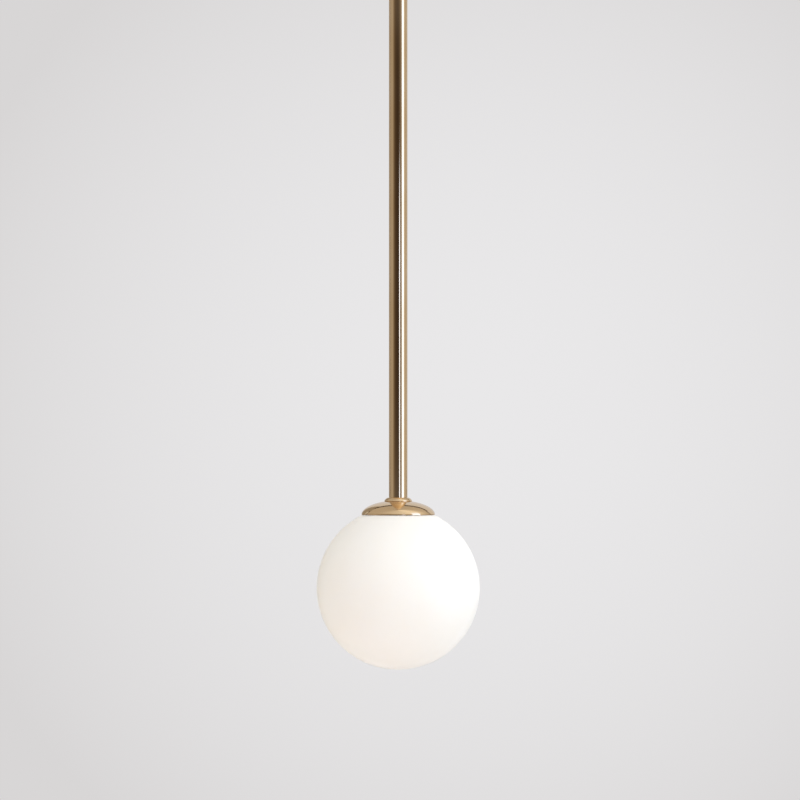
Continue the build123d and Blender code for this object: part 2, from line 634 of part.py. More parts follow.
def lamp_envelope():
    """The clear round-ended cover of the lamp, glued on the step inside its foot."""
    top, low = RIM_Z + LAMP_BASE_LOW, RIM_Z + LAMP_LOW
    outer, inner = LAMP_R - 0.1, LAMP_R - 0.1 - LAMP_WALL
    neck = LAMP_R - LAMP_WALL - 0.1
    ball = low + outer
    cover = hollow_rod(outer, inner, ball, top) + hollow_rod(neck, neck - 0.7, top - 0.6, top + 1.8)
    shell = Sphere(outer) - Sphere(inner)
    return cover + Pos(0, 0, ball) * split(shell, bisect_by=Plane.XY, keep=Keep.BOTTOM)


def lamp_filaments():
    """Four LED sticks standing round the glass post."""
    low, high = RIM_Z + LAMP_LOW + 7, RIM_Z + LAMP_BASE_LOW - 1.5
    sticks = [
        solid_rod(0.9, low, high, at=(4.2 * math.cos(turn), 4.2 * math.sin(turn)))
        for turn in (math.radians(45 + 90 * step) for step in range(4))
    ]
    return group(*sticks)


def lamp_post():
    """The post that carries the sticks between two spider plates."""
    low, high = RIM_Z + LAMP_LOW + 7, RIM_Z + LAMP_BASE_LOW - 1.5
    post = solid_rod(1.4, low - 0.8, high + 3.5)
    return post + solid_rod(5.4, high, high + 0.8) + solid_rod(5.4, low - 0.8, low)


def parts():
    """Every node of the assembly by name."""
    made = {
        "mounting_plate": mounting_plate(),
        "gimbal_yoke": yoke(),
        "yoke_rivets": yoke_rivets(),
        "terminal_block": terminal_block(),
        "terminal_barrels": terminal_barrels(),
        "terminal_screws": terminal_screws(),
        "terminal_fixing_screw": terminal_fixing_screw(),
        "earth_screw": earth_screw(),
        "earth_washer": earth_washer(),
        "earth_lug": earth_lug(),
        "gimbal_ring": gimbal_ring(),
        "gimbal_pins": gimbal_pins(),
        "stem_head": stem_head(),
        "stem_tube": stem_tube(),
        "stem_foot_bush": stem_foot_bush(),
        "threaded_nipple": nipple(),
        "flex_sheath": flex_sheath(),
        "foot_collar": foot_collar(),
        "globe_cap": globe_cap(),
        "cap_spacer": cap_spacer(),
        "fitter_cup": fitter_cup(),
        "holder_bracket": holder_bracket(),
        "lock_washer": lock_washer(),
        "lock_nut": lock_nut(),
        "earth_tag": earth_tag(),
        "earth_tag_screw": earth_tag_screw(),
        "lampholder_body": holder_body(),
        "lampholder_contacts": holder_contacts(),
        "lampholder_screws": holder_screws(),
        "canopy_shell": canopy_shell(),
        "canopy_collar": canopy_collar(),
        "canopy_liner": canopy_liner(),
        "canopy_ring_nut": canopy_ring_nut(),
        "canopy_grub_screw": canopy_grub_screw(),
        "seal_ring": seal_ring(),
        "globe_glass": globe_glass(),
        "lamp_base": lamp_base(),
        "lamp_pins": lamp_pins(),
        "lamp_envelope": lamp_envelope(),
        "lamp_filaments": lamp_filaments(),
        "lamp_post": lamp_post(),
    }
    for name in CORES:
        made[f"head_core_{name}"] = head_core(name)
        made[f"stem_core_{name}"] = stem_core(name)
    return made


def main():
    os.makedirs("parts", exist_ok=True)
    for name, shape in parts().items():
        export_step(shape, f"parts/{name}.step")


main()
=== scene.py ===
# %% [markdown]
# # A globe pendant light, piece by piece
# The light hangs from a ceiling plate: a gimbal, a forked head, a straight brass tube, a low spun dome and a
# blown opal globe that screws up into it. The measured model already fixes where everything is, so this
# lesson gives each piece its true edges, threads and finish, in the same place.

# %% Load the measured model
import json
import math

import bpy
from mathutils import Matrix, Vector


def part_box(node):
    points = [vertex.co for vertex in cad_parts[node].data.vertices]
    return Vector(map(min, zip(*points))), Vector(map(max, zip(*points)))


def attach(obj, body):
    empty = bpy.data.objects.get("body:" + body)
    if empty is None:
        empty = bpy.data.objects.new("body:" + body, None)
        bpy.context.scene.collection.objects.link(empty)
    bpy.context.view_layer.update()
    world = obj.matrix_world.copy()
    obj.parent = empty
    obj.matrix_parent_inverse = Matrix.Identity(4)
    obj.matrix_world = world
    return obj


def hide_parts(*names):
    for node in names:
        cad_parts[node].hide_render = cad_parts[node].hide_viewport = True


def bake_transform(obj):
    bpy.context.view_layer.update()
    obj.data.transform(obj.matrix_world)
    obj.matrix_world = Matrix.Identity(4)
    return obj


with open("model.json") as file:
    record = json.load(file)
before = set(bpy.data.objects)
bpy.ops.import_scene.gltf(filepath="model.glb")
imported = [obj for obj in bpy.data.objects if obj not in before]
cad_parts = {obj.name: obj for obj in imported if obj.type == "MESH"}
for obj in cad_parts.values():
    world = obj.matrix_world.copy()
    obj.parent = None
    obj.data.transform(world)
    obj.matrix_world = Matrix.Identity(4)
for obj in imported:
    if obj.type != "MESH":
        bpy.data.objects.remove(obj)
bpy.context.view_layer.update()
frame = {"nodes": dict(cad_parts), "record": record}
MM = 0.001


def span(node):
    """The lowest and highest height of a measured piece, in millimetres."""
    low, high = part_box(node)
    return low[2] / MM, high[2] / MM


RIM = span("globe_cap")[0]
GLOBE_R = 70.0
THREAD_PITCH = 2.4
GLOBE = span("globe_glass")[0] + GLOBE_R
STEM_LOW, STEM_TOP = span("stem_tube")
CROWN = span("canopy_shell")[0]
PIVOT = -19.0
print("dome rim at", round(RIM, 2), "globe centre at", round(GLOBE, 2), "canopy crown at", round(CROWN, 2))

# %% [markdown]
# ## The camera
# A long lens from six metres away, level with the lower part of the tube, draws the tube's sides parallel and
# the dome's rim almost as a straight line. The frame is 687 mm wide at the light, which fixes the focal length.

# %% Camera
CAMERA_DISTANCE, CAMERA_RIGHT, CAMERA_ABOVE_GLOBE = 6.0, 0.0015, 0.1615
FRAME_WIDTH = 0.6872
SENSOR = 36.0

camera_data = bpy.data.cameras.new("camera")
camera_data.sensor_width = SENSOR
camera_data.lens = SENSOR * CAMERA_DISTANCE / FRAME_WIDTH
camera_data.clip_end = 100
camera = bpy.data.objects.new("camera", camera_data)
camera.location = (CAMERA_RIGHT, -CAMERA_DISTANCE, GLOBE * MM + CAMERA_ABOVE_GLOBE)
camera.rotation_euler = (math.radians(90), 0, 0)
bpy.context.collection.objects.link(camera)
bpy.context.scene.camera = camera
print("lens", round(camera_data.lens, 1), "mm")

# %% [markdown]
# ## Small tools for finishes
# Colours are picked as the sRGB hex values a paint chart would give, and Blender mixes light in linear values,
# so one function converts them. Another adds a node with its settings and links, which keeps each finish
# readable as a list of what it is made of. Nearly every finish then does three things with its patterns: tint
# the colour, vary the gloss and raise a very low relief.


# %% Colour and node helpers
def srgb(code):
    """Turns a hex colour into the linear values that the shader wants."""
    parts = [int(code[i : i + 2], 16) / 255 for i in (1, 3, 5)]
    linear = [p / 12.92 if p <= 0.04045 else ((p + 0.055) / 1.055) ** 2.4 for p in parts]
    return (*linear, 1.0)


def put(material, kind, inputs=None, stops=(), **options):
    """Adds one node: its options, its colour stops if any, then the values and links of its inputs."""
    made = material.node_tree.nodes.new("ShaderNode" + kind)
    for name, value in options.items():
        setattr(made, name, value)
    for number, (position, code) in enumerate(stops):
        middle = 0 < number < len(stops) - 1
        element = made.color_ramp.elements.new(position) if middle else made.color_ramp.elements[-1 if number else 0]
        element.position, element.color = position, srgb(code)
    feed(material, made, inputs or {})
    return made


def feed(material, node, inputs):
    """Sets or links a node's inputs, with _ for a space in their names."""
    for name, value in inputs.items():
        socket = node.inputs[name.replace("_", " ") if isinstance(name, str) else name]
        if isinstance(value, bpy.types.NodeSocket):
            material.node_tree.links.new(value, socket)
        else:
            socket.default_value = value


def surface(name, **settings):
    """A new material; settings are values of its main shader's sockets."""
    material = bpy.data.materials.new(name)
    material.use_nodes = True
    feed(material, material.node_tree.nodes["Principled BSDF"], settings)
    return material


def stretched(material, *scale):
    """Object coordinates in millimetres, squeezed by a scale for each axis."""
    place = put(material, "TexCoord").outputs["Object"]
    return put(material, "Mapping", {"Vector": place, "Scale": [s / MM for s in scale]}).outputs["Vector"]


def patterned(material, tint=None, gloss=None, relief=None):
    """Wires patterns in: (pattern, dark, light, low, high), (pattern, low, high) and (pattern, mm, strength)."""
    found = {}
    if tint:
        pattern, dark, light, low, high = tint
        made = put(material, "ValToRGB", {"Fac": pattern}, [(low, dark), (high, light)])
        found["Base Color"] = made.outputs["Color"]
    if gloss:
        made = put(material, "MapRange", {"Value": gloss[0], "To Min": gloss[1], "To Max": gloss[2]})
        found["Roughness"] = made.outputs["Result"]
    if relief:
        made = put(material, "Bump", {"Height": relief[0], "Distance": relief[1] * MM, "Strength": relief[2]})
        found["Normal"] = made.outputs["Normal"]
    feed(material, material.node_tree.nodes["Principled BSDF"], found)
    return material


# %% [markdown]
# ## Polished, lacquered brass
# The tube is drawn and the domes are spun from brass sheet, buffed to a mirror and lacquered. The eye sees a
# pale champagne mirror with a trace of the buffing wheel: hair lines that run along a tube and round a
# dome. The lines are about 0.2 mm apart on the real piece and are drawn at 0.5 mm so that they show, very
# shallow, and the lacquer makes the gloss drift a little over tens of millimetres.


# %% Champagne brass
def champagne_brass(name, grain, depth_mm, rough):
    material = surface(name, Metallic=1.0, Coat_Weight=0.15, Coat_Roughness=0.04)
    lines = put(material, "TexNoise", {"Vector": stretched(material, *grain), "Scale": 1.0, "Detail": 3.0})
    drift = put(material, "TexNoise", {"Vector": stretched(material, 0.02, 0.02, 0.02), "Scale": 1.0})
    lines, drift = lines.outputs["Fac"], drift.outputs["Fac"]
    both = put(material, "Math", {0: lines, 1: drift}, operation="MULTIPLY").outputs["Value"]
    tint = (drift, "#E6C99F", "#EDD3AE", 0.3, 0.7)
    return patterned(material, tint, (both, *rough), (lines, depth_mm, 0.35))


drawn_brass = champagne_brass("champagne_brass_drawn", (2.0, 2.0, 0.02), 0.0015, (0.05, 0.15))
spun_brass = champagne_brass("champagne_brass_spun", (0.12, 0.12, 2.0), 0.004, (0.08, 0.21))

# %% [markdown]
# ## Satin opal glass
# The globe is blown from clear glass cased with a thin layer of opal, then etched in acid. Light spreads a
# few millimetres inside it, so it has almost no shading of its own, and the etch leaves a soft sheen with no
# sharp highlight. The etch is far finer than a millimetre; it is drawn as a 0.6 mm mottle in the gloss, with
# the long slow waviness of blown glass under it.

# %% Opal glass
LIGHT_REACH = 6 * MM
opal = surface(
    "satin_opal_glass", IOR=1.5, Subsurface_Weight=0.35, Subsurface_Radius=(1.0, 0.9, 0.8), Subsurface_Scale=LIGHT_REACH
)
etch = put(opal, "TexNoise", {"Vector": stretched(opal, 1.6, 1.6, 1.6), "Scale": 1.0, "Detail": 4.0}).outputs["Fac"]
wave = put(opal, "TexNoise", {"Vector": stretched(opal, 0.025, 0.025, 0.012), "Scale": 1.0}).outputs["Fac"]
patterned(opal, (wave, "#FAF8F4", "#FDFCFA", 0.3, 0.7), (etch, 0.42, 0.58), (wave, 0.15, 0.25))

# %% [markdown]
# ## The working finishes
# Behind the canopy everything is plain hardware. Zinc plate is a bluish grey with cloudy gloss from the
# bath. Turned brass keeps its tool rings. Tinned copper is softer and greyer, spring bronze redder.


# %% Plain metals
def plated(name, dark, light, rough, cloud_mm, grain_mm):
    """A plated or turned metal: clouds in its tone, fine grain in its gloss."""
    material = surface(name, Metallic=1.0)
    cloudy = stretched(material, *[1 / cloud_mm] * 3)
    clouds = put(material, "TexNoise", {"Vector": cloudy, "Scale": 1.0, "Detail": 5.0}).outputs["Fac"]
    fine = stretched(material, *[1 / size for size in grain_mm])
    grain = put(material, "TexNoise", {"Vector": fine, "Scale": 1.0}).outputs["Fac"]
    return patterned(material, (clouds, dark, light, 0.3, 0.7), (clouds, *rough), (grain, 0.012, 0.5))


FINISH = {
    "polished_brass": spun_brass,
    "opal_glass": opal,
    "zinc_steel": plated("bright_zinc_plate", "#A9AEB0", "#C9CDCB", (0.22, 0.42), 6.0, (0.5, 0.5, 0.5)),
    "plain_brass": plated("turned_brass", "#C9A867", "#DDBF82", (0.24, 0.34), 9.0, (3.0, 3.0, 0.2)),
    "tinned_copper": plated("tinned_copper", "#B9B4AC", "#CFCBC3", (0.30, 0.45), 4.0, (0.6, 0.6, 0.6)),
    "spring_bronze": plated("rolled_phosphor_bronze", "#B98552", "#CF9C68", (0.25, 0.35), 4.0, (0.3, 3.0, 3.0)),
    "nickel_wire": plated("nickel_plated_wire", "#BDB8AE", "#D5D1C8", (0.15, 0.25), 3.0, (0.4, 0.4, 3.0)),
}
print(len(FINISH), "finishes so far")

# %% [markdown]
# ## Ceramics, plastics and rubber
# Steatite is a fired talc body: warm white, dry to the eye, with dark specks under a millimetre across.
# The terminal block and the canopy's liner are polyamide, milky and waxy, so light goes a little way in.
# The cable is PVC over silicone, and the earth core is green with a yellow stripe along each side.


# %% Non-metals
def moulded(name, dark, light, rough, depth_mm, grain_mm, sheen=0.0, waxy=0.0):
    """A moulded or fired body with a fine skin texture, and some light scattered inside when waxy."""
    material = surface(
        name, Subsurface_Weight=waxy, Subsurface_Radius=(1.0, 0.9, 0.7), Subsurface_Scale=2 * MM, Sheen_Weight=sheen
    )
    fine = stretched(material, *[1 / grain_mm] * 3)
    skin = put(material, "TexNoise", {"Vector": fine, "Scale": 1.0, "Detail": 4.0}).outputs["Fac"]
    return patterned(material, (skin, dark, light, 0.35, 0.65), (skin, *rough), (skin, depth_mm, 0.6))


def striped_core(name, ground, stripe):
    """Silicone insulation with two stripes along the wire, drawn as bands across X in real millimetres."""
    material = surface(name, Roughness=0.42)
    bands = put(material, "TexWave", {"Vector": stretched(material, 0.32, 0.32, 0.0), "Scale": 1.0}).outputs["Fac"]
    skin = put(material, "TexNoise", {"Vector": stretched(material, 2, 2, 2), "Scale": 1.0}).outputs["Fac"]
    return patterned(material, (bands, ground, stripe, 0.42, 0.5), relief=(skin, 0.01, 0.5))


FINISH |= {
    "terminal_polyamide": moulded("moulded_polyamide", "#E3DED0", "#ECE8DC", (0.38, 0.5), 0.01, 0.8, waxy=0.3),
    "nylon": moulded("turned_nylon", "#E4E1D6", "#EFEDE5", (0.35, 0.45), 0.01, 0.5, waxy=0.3),
    "steatite": moulded("fired_steatite", "#DCD5C4", "#EEE9DC", (0.55, 0.7), 0.03, 0.5),
    "lamp_foot": moulded("pressed_alumina", "#ECEBE6", "#F6F5F2", (0.3, 0.4), 0.01, 0.6),
    "silicone": moulded("moulded_silicone", "#E6E6E1", "#F0F0EC", (0.4, 0.55), 0.01, 0.7, sheen=0.2, waxy=0.5),
    "white_sheath": moulded("extruded_pvc", "#E4E4E1", "#EDEDEA", (0.35, 0.5), 0.01, 0.9),
    "brown_core": moulded("silicone_core_brown", "#4A2A1B", "#5A3422", (0.38, 0.5), 0.01, 0.6),
    "blue_core": moulded("silicone_core_blue", "#1F4E93", "#2A5CA6", (0.38, 0.5), 0.01, 0.6),
    "green_yellow_core": striped_core("silicone_core_earth", "#3E7D2C", "#E4D33A"),
    "phosphor": moulded("phosphor_in_silicone", "#E2B43A", "#F0C858", (0.45, 0.6), 0.03, 0.7, waxy=0.4),
}
print(len(FINISH), "finishes so far")

# %% [markdown]
# ## Clear glass
# The lamp's cover is drawn borosilicate tube. It is nearly invisible face on and shows at its edges, where
# the Fresnel reflection grows, so it is a plain transmitting shader with faint draw lines in its gloss.


# %% Clear glass
def clear_glass(name, tint, rough):
    material = surface(name, Transmission_Weight=1.0, IOR=1.47, Base_Color=srgb(tint))
    draw_lines = put(material, "TexNoise", {"Vector": stretched(material, 1.5, 1.5, 0.05), "Scale": 1.0})
    return patterned(material, gloss=(draw_lines.outputs["Fac"], *rough))


FINISH["clear_glass"] = clear_glass("drawn_borosilicate_tube", "#F7FAFA", (0.0, 0.05))
FINISH["lamp_post_glass"] = clear_glass("pressed_glass_post", "#EDF2F2", (0.05, 0.2))
SLOT_OF = {part["node"]: part["material_slot"] for part in frame["record"]["subparts"]}
for name, cad_piece in frame["nodes"].items():
    cad_piece.data.materials.clear()
    cad_piece.data.materials.append(FINISH[SLOT_OF[name]])
print(len(FINISH), "finishes on", len(frame["nodes"]), "measured pieces")

# %% [markdown]
# ## Working by hand
# Nearly every piece here is turned, pressed or bent from strip, so the same few moves come back: draw an
# outline one corner at a time, round its corners, and spin it round the stem's axis or pull it straight.
# The helpers below are those moves. All outlines are in millimetres.


# %% Picking pieces up and putting them down
MERGE = 0.0005 * MM


def deselect_all():
    if bpy.context.object and bpy.context.object.mode != "OBJECT":
        bpy.ops.object.mode_set(mode="OBJECT")
    bpy.ops.object.select_all(action="DESELECT")


def pick(piece):
    deselect_all()
    piece.select_set(True)
    bpy.context.view_layer.objects.active = piece


def take_all():
    """In edit mode: selects everything."""
    bpy.ops.mesh.select_all(action="SELECT")


def open_up(piece):
    """Opens one piece in edit mode with all of it selected."""
    pick(piece)
    bpy.ops.object.mode_set(mode="EDIT")
    take_all()


def settle(piece, smooth=32):
    """Back to object mode, with the place in the mesh and smooth shading up to a crease angle."""
    pick(piece)
    bpy.ops.object.transform_apply(location=True, rotation=True, scale=True)
    bpy.ops.object.shade_smooth_by_angle(angle=math.radians(smooth))
    return piece


def tidy_shell():
    """In edit mode: merges what touches and points every face outwards."""
    take_all()
    bpy.ops.mesh.remove_doubles(threshold=MERGE)
    take_all()
    bpy.ops.mesh.normals_make_consistent(inside=False)


def open_rim():
    """In edit mode: selects only the open edge loop."""
    bpy.ops.mesh.select_mode(type="EDGE")
    bpy.ops.mesh.select_all(action="DESELECT")
    bpy.ops.mesh.select_non_manifold(extend=False, use_wire=False, use_multi_face=False)


PLANES = {"XZ": lambda a, b: (a, 0, b), "XY": lambda a, b: (a, b, 0), "YZ": lambda a, b: (0, a, b)}


def draw(name, outline, closed=True, plane="XZ"):
    """Draws an outline corner by corner in edit mode. A third number on a point is its corner radius."""
    deselect_all()
    bpy.ops.mesh.primitive_plane_add(size=MM)
    piece = bpy.context.object
    piece.name = name
    bpy.ops.object.mode_set(mode="EDIT")
    bpy.ops.mesh.select_mode(type="VERT")
    take_all()
    bpy.ops.mesh.merge(type="COLLAPSE")
    stops = [Vector(PLANES[plane](p[0], p[1])) * MM for p in outline]
    bpy.ops.transform.translate(value=stops[0])
    for here, there in zip(stops, stops[1:] + stops[:1] * closed):
        bpy.ops.mesh.extrude_vertices_move(TRANSFORM_OT_translate={"value": there - here})
    take_all()
    bpy.ops.mesh.remove_doubles(threshold=MERGE)
    for point, stop in zip(outline, stops):
        if len(point) > 2:
            bpy.ops.mesh.select_all(action="DESELECT")
            bpy.ops.object.mode_set(mode="OBJECT")
            nearest = min(piece.data.vertices, key=lambda v: (v.co - stop).length)
            nearest.select = True
            bpy.ops.object.mode_set(mode="EDIT")
            bpy.ops.mesh.bevel(offset=point[2] * MM, segments=6, affect="VERTICES")
    take_all()
    return piece


def turn(name, outline, base=0.0, steps=96, closed=True):
    """A turned piece: an outline of (radius, height above base), spun once round Z."""
    lifted = [(p[0], p[1] + base, *p[2:]) for p in outline]
    piece = draw(name, lifted, closed)
    bpy.ops.mesh.spin(steps=steps, angle=math.tau, center=(0, 0, 0), axis=(0, 0, 1))
    tidy_shell()
    return settle(piece)


def pull(name, outline, plane, low, high):
    """A flat outline, filled and pulled straight between two stations on the axis it faces."""
    piece = draw(name, outline, True, plane)
    along = Vector({"XZ": (0, 1, 0), "XY": (0, 0, 1), "YZ": (1, 0, 0)}[plane]) * MM
    bpy.ops.mesh.edge_face_add()
    bpy.ops.transform.translate(value=along * low)
    bpy.ops.mesh.extrude_region_move(TRANSFORM_OT_translate={"value": along * (high - low)})
    tidy_shell()
    return settle(piece)


def rod(radius, low, high, axis="Z", at=(0.0, 0.0), sides=64, name="rod"):
    """A round bar along an axis; `at` holds the other two coordinates in order."""
    middle = (low + high) / 2
    place = {"X": (middle, *at), "Y": (at[0], middle, at[1]), "Z": (*at, middle)}[axis]
    aim = {"X": (0, math.radians(90), 0), "Y": (math.radians(-90), 0, 0), "Z": (0, 0, 0)}[axis]
    deselect_all()
    bpy.ops.mesh.primitive_cylinder_add(
        vertices=sides, radius=radius * MM, depth=(high - low) * MM, location=Vector(place) * MM, rotation=aim
    )
    bpy.context.object.name = name
    return settle(bpy.context.object)


def bar(x, y, z, name="bar"):
    """A square bar between three pairs of stations."""
    deselect_all()
    middle = [(s[0] + s[1]) / 2 * MM for s in (x, y, z)]
    bpy.ops.mesh.primitive_cube_add(size=1, location=middle, scale=[abs(s[1] - s[0]) * MM for s in (x, y, z)])
    bpy.context.object.name = name
    return settle(bpy.context.object)


# %% [markdown]
# Holes, joints and intersections are Boolean modifiers, applied at once, and the cutter is thrown away. A
# bevel then takes the sharpness off every edge, because a real edge always catches a line of light.


# %% Cutting, joining and easing
def modify(piece, kind, **settings):
    """Adds a modifier with its settings, and applies it."""
    pick(piece)
    step = piece.modifiers.new("step", kind)
    for name, value in settings.items():
        setattr(step, name, value)
    bpy.ops.object.modifier_apply(modifier="step")


def boolean(piece, operation, others):
    for other in others:
        modify(piece, "BOOLEAN", operation=operation, object=other, solver="EXACT")
        bpy.data.objects.remove(other)
    return settle(piece)


def cut(piece, *others):
    return boolean(piece, "DIFFERENCE", others)


def fuse(piece, *others):
    return boolean(piece, "UNION", others)


def keep_within(piece, *others):
    return boolean(piece, "INTERSECT", others)


def ease(piece, width, segments=2, angle=40):
    """Takes the sharpness off the edges that turn by more than an angle."""
    turned = math.radians(angle)
    modify(piece, "BEVEL", width=width * MM, segments=segments, limit_method="ANGLE", angle_limit=turned)
    return settle(piece)


def gather(name, pieces):
    """Joins separate solids into one piece."""
    deselect_all()
    for piece in pieces:
        piece.select_set(True)
    bpy.context.view_layer.objects.active = pieces[0]
    bpy.ops.object.join()
    pieces[0].name = name
    return settle(pieces[0])


def moved(piece, matrix):
    piece.data.transform(matrix)
    return piece


def placed(piece, matrix):
    """A copy with its own mesh, moved by a matrix."""
    twin = piece.copy()
    twin.data = piece.data.copy()
    bpy.context.collection.objects.link(twin)
    return moved(twin, matrix)


def about_z(degrees):
    return Matrix.Rotation(math.radians(degrees), 4, "Z")


def shift(x=0.0, y=0.0, z=0.0):
    return Matrix.Translation(Vector((x, y, z)) * MM)


def copies(piece, matrices):
    """One copy for each matrix; the first piece is used up."""
    made = [placed(piece, matrix) for matrix in matrices]
    bpy.data.objects.remove(piece)
    return made


def ring_of(piece, count):
    return copies(piece, [about_z(360 / count * step) for step in range(count)])


ALONG_X = Matrix.Rotation(math.radians(90), 4, "Y")
ALONG_Y = Matrix.Rotation(math.radians(-90), 4, "X")


# %% [markdown]
# A screw thread is a zigzag outline that rises by one pitch as it is spun. The Screw modifier does that in
# one step. The bar is made a little long, and a bisect at each end leaves the run-out of a cut thread.


# %% Threaded bar
def thread(radius, pitch, low, high, steps=40):
    """A threaded bar along Z, solid, with flat ends."""
    depth = 0.54 * pitch
    count = math.ceil((high - low) / pitch) + 3
    zigzag = []
    for turn_number in range(count):
        foot = low + (turn_number - 2) * pitch
        zigzag += [(radius - depth, foot), (radius, foot + 0.44 * pitch), (radius, foot + 0.56 * pitch)]
    piece = draw("thread", zigzag, closed=False)
    merging = {"use_merge_vertices": True, "merge_threshold": MERGE}
    modify(piece, "SCREW", screw_offset=pitch * MM, steps=steps, render_steps=steps, **merging)
    open_up(piece)
    bpy.ops.mesh.remove_doubles(threshold=MERGE)
    for height, outward in ((low, -1), (high, 1)):
        take_all()
        plane = {"plane_co": (0, 0, height * MM), "plane_no": (0, 0, outward)}
        bpy.ops.mesh.bisect(**plane, use_fill=True, clear_outer=True, threshold=0.0001 * MM)
    tidy_shell()
    return settle(piece)


def screw_up(radius, pitch, tip, head_r, seat, head, recess, cross=False, round_off=0.5):
    """A screw that points up: a head below its seat, a threaded shank up to its tip, and a driver recess."""
    low = seat - head
    outline = [(0, low), (head_r, low, round_off), (head_r, seat, 0.12), (0, seat)]
    piece = turn("screw", outline, steps=48, closed=False)
    fuse(piece, thread(radius, pitch, seat - 0.2, tip, steps=24))
    width, length, depth = recess
    cutters = [bar((-width / 2, width / 2), (-length / 2, length / 2), (low - 1, low + depth))]
    if cross:
        cutters.append(placed(cutters[0], about_z(90)))
    return cut(piece, *cutters)


def ridge(name, outline, low, turns, start):
    """One coarse thread ridge: its outline is swept up and round from a starting angle."""
    piece = draw(name, outline)
    bpy.ops.mesh.edge_face_add()
    bpy.ops.transform.translate(value=(0, 0, low * MM))
    angle, rise, steps = math.tau * turns, THREAD_PITCH * turns * MM, int(160 * turns)
    modify(piece, "SCREW", angle=angle, screw_offset=rise, steps=steps, render_steps=steps)
    open_up(piece)
    open_rim()
    bpy.ops.mesh.edge_face_add()
    tidy_shell()
    return moved(settle(piece), about_z(start))


def done(piece, body, *nodes, finish=None):
    """Puts a finished piece on its body in place of the measured pieces it stands for; given anything but one body's
    name, it leaves the piece unparented where it is.
    """
    slot = SLOT_OF[nodes[0]]
    piece.data.materials.clear()
    piece.data.materials.append(finish or FINISH[slot])
    if isinstance(body, str):
        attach(piece, body)
    else:
        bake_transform(piece)
    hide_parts(*nodes)
    print(piece.name, len(piece.data.polygons), "faces, replaces", ", ".join(nodes))
    return piece


def oval(radius, height, centre, start, end, steps):
    """Points on a part of an ellipse, as (radius, height)."""
    turns = [math.radians(start + (end - start) * i / steps) for i in range(steps + 1)]
    return [(centre[0] + radius * math.cos(t), centre[1] + height * math.sin(t)) for t in turns]


def band(inner, outer, low, high, inside, outside):
    """The outline of a plain ring, with the rounding of its two inside and two outside corners."""
    return [(inner, low, inside), (outer, low, outside), (outer, high, outside), (inner, high, inside)]


# %% [markdown]
# ## The tube and its foot ring
# The tube is 16 mm drawn brass with a 1.2 mm wall. A long cylinder primitive would do for the outside, but
# the ends show their wall, so the wall's own outline is spun. The foot ring is turned from bar: a straight
# land, then a quarter round that closes in on the tube, and a socket that the tube stands in.

# %% Tube and foot ring
TUBE_R, TUBE_BORE, TUBE_LENGTH, NIPPLE_R = 8.0, 6.8, 600, 5.0
wall = band(TUBE_BORE, TUBE_R, 0, TUBE_LENGTH, 0.2, 0.3)
done(turn("brass_tube", wall, STEM_LOW, steps=128), "stem", "stem_tube", finish=drawn_brass)

ring = [(NIPPLE_R, 0), (11.75, 0), (11.9, 0.15), (11.9, 0.5), (11.37, 1.4), (10.74, 2.16), (9.94, 2.77)]
ring += [(9.3, 3.1), (9.0, 3.2), (8.25, 3.2), (8.05, 3.0), (8.05, 1.0), (NIPPLE_R, 1.0)]
done(turn("foot_ring", ring, span("foot_collar")[0], steps=128), "stem", "foot_collar")

# %% [markdown]
# ## The spun dome
# Its profile is half an ellipse, 63 mm across and 12 mm high, spun from 1 mm sheet. The flat top takes the
# foot ring. The inner edge of the rim is turned back to the slope of the glass, so that the rim sits down
# close on the globe with a hair line of shadow.

# %% Dome
CAP_R, CAP_RISE, CAP_WALL, CAP_FLAT_R = 31.6, 12.4, 1.0, 11.5
cap_turn = math.degrees(math.acos(CAP_FLAT_R / CAP_R))
cap_flat = CAP_RISE * math.sin(math.radians(cap_turn))
inner_turn = math.degrees(math.asin((cap_flat - CAP_WALL) / (CAP_RISE - CAP_WALL)))
outside = oval(CAP_R, CAP_RISE, (0, 0), 0, cap_turn, 56)
inside = oval(CAP_R - CAP_WALL, CAP_RISE - CAP_WALL, (0, 0), 2.0, inner_turn, 40)
dome = [(31.35, 0), (31.52, 0.03), *outside[1:], (NIPPLE_R, cap_flat), (NIPPLE_R, cap_flat - CAP_WALL)]
dome += inside[::-1]
done(turn("spun_dome", dome, RIM, steps=160), "stem", "globe_cap")

# %% [markdown]
# ## The blown globe
# A globe starts as a bubble, and so does this one: a sphere primitive. The top is sliced off flat, where the
# glass was flattened in its mould, and the open edge is extruded inwards to a shoulder and upwards to the
# neck. Solidify gives the wall, and the bevel rounds what fire-polishing rounds. The thread is one turn of a
# coarse ridge, swept by the Screw modifier and fused to the neck.

# %% Globe
NECK_R, NECK_TOP, SHOULDER, GLASS, FILLET = 17.0, 6.9, 1.6, 3.0, 1.0
RIDGE_R = 17.9


def rim_step(radius_from, radius_to, lift):
    """In edit mode: extrudes the selected loop to another radius, and lifts it."""
    bpy.ops.mesh.extrude_edges_move()
    scale = radius_to / radius_from
    bpy.ops.transform.resize(value=(scale, scale, 1), center_override=(0, 0, 0))
    bpy.ops.transform.translate(value=(0, 0, lift * MM))


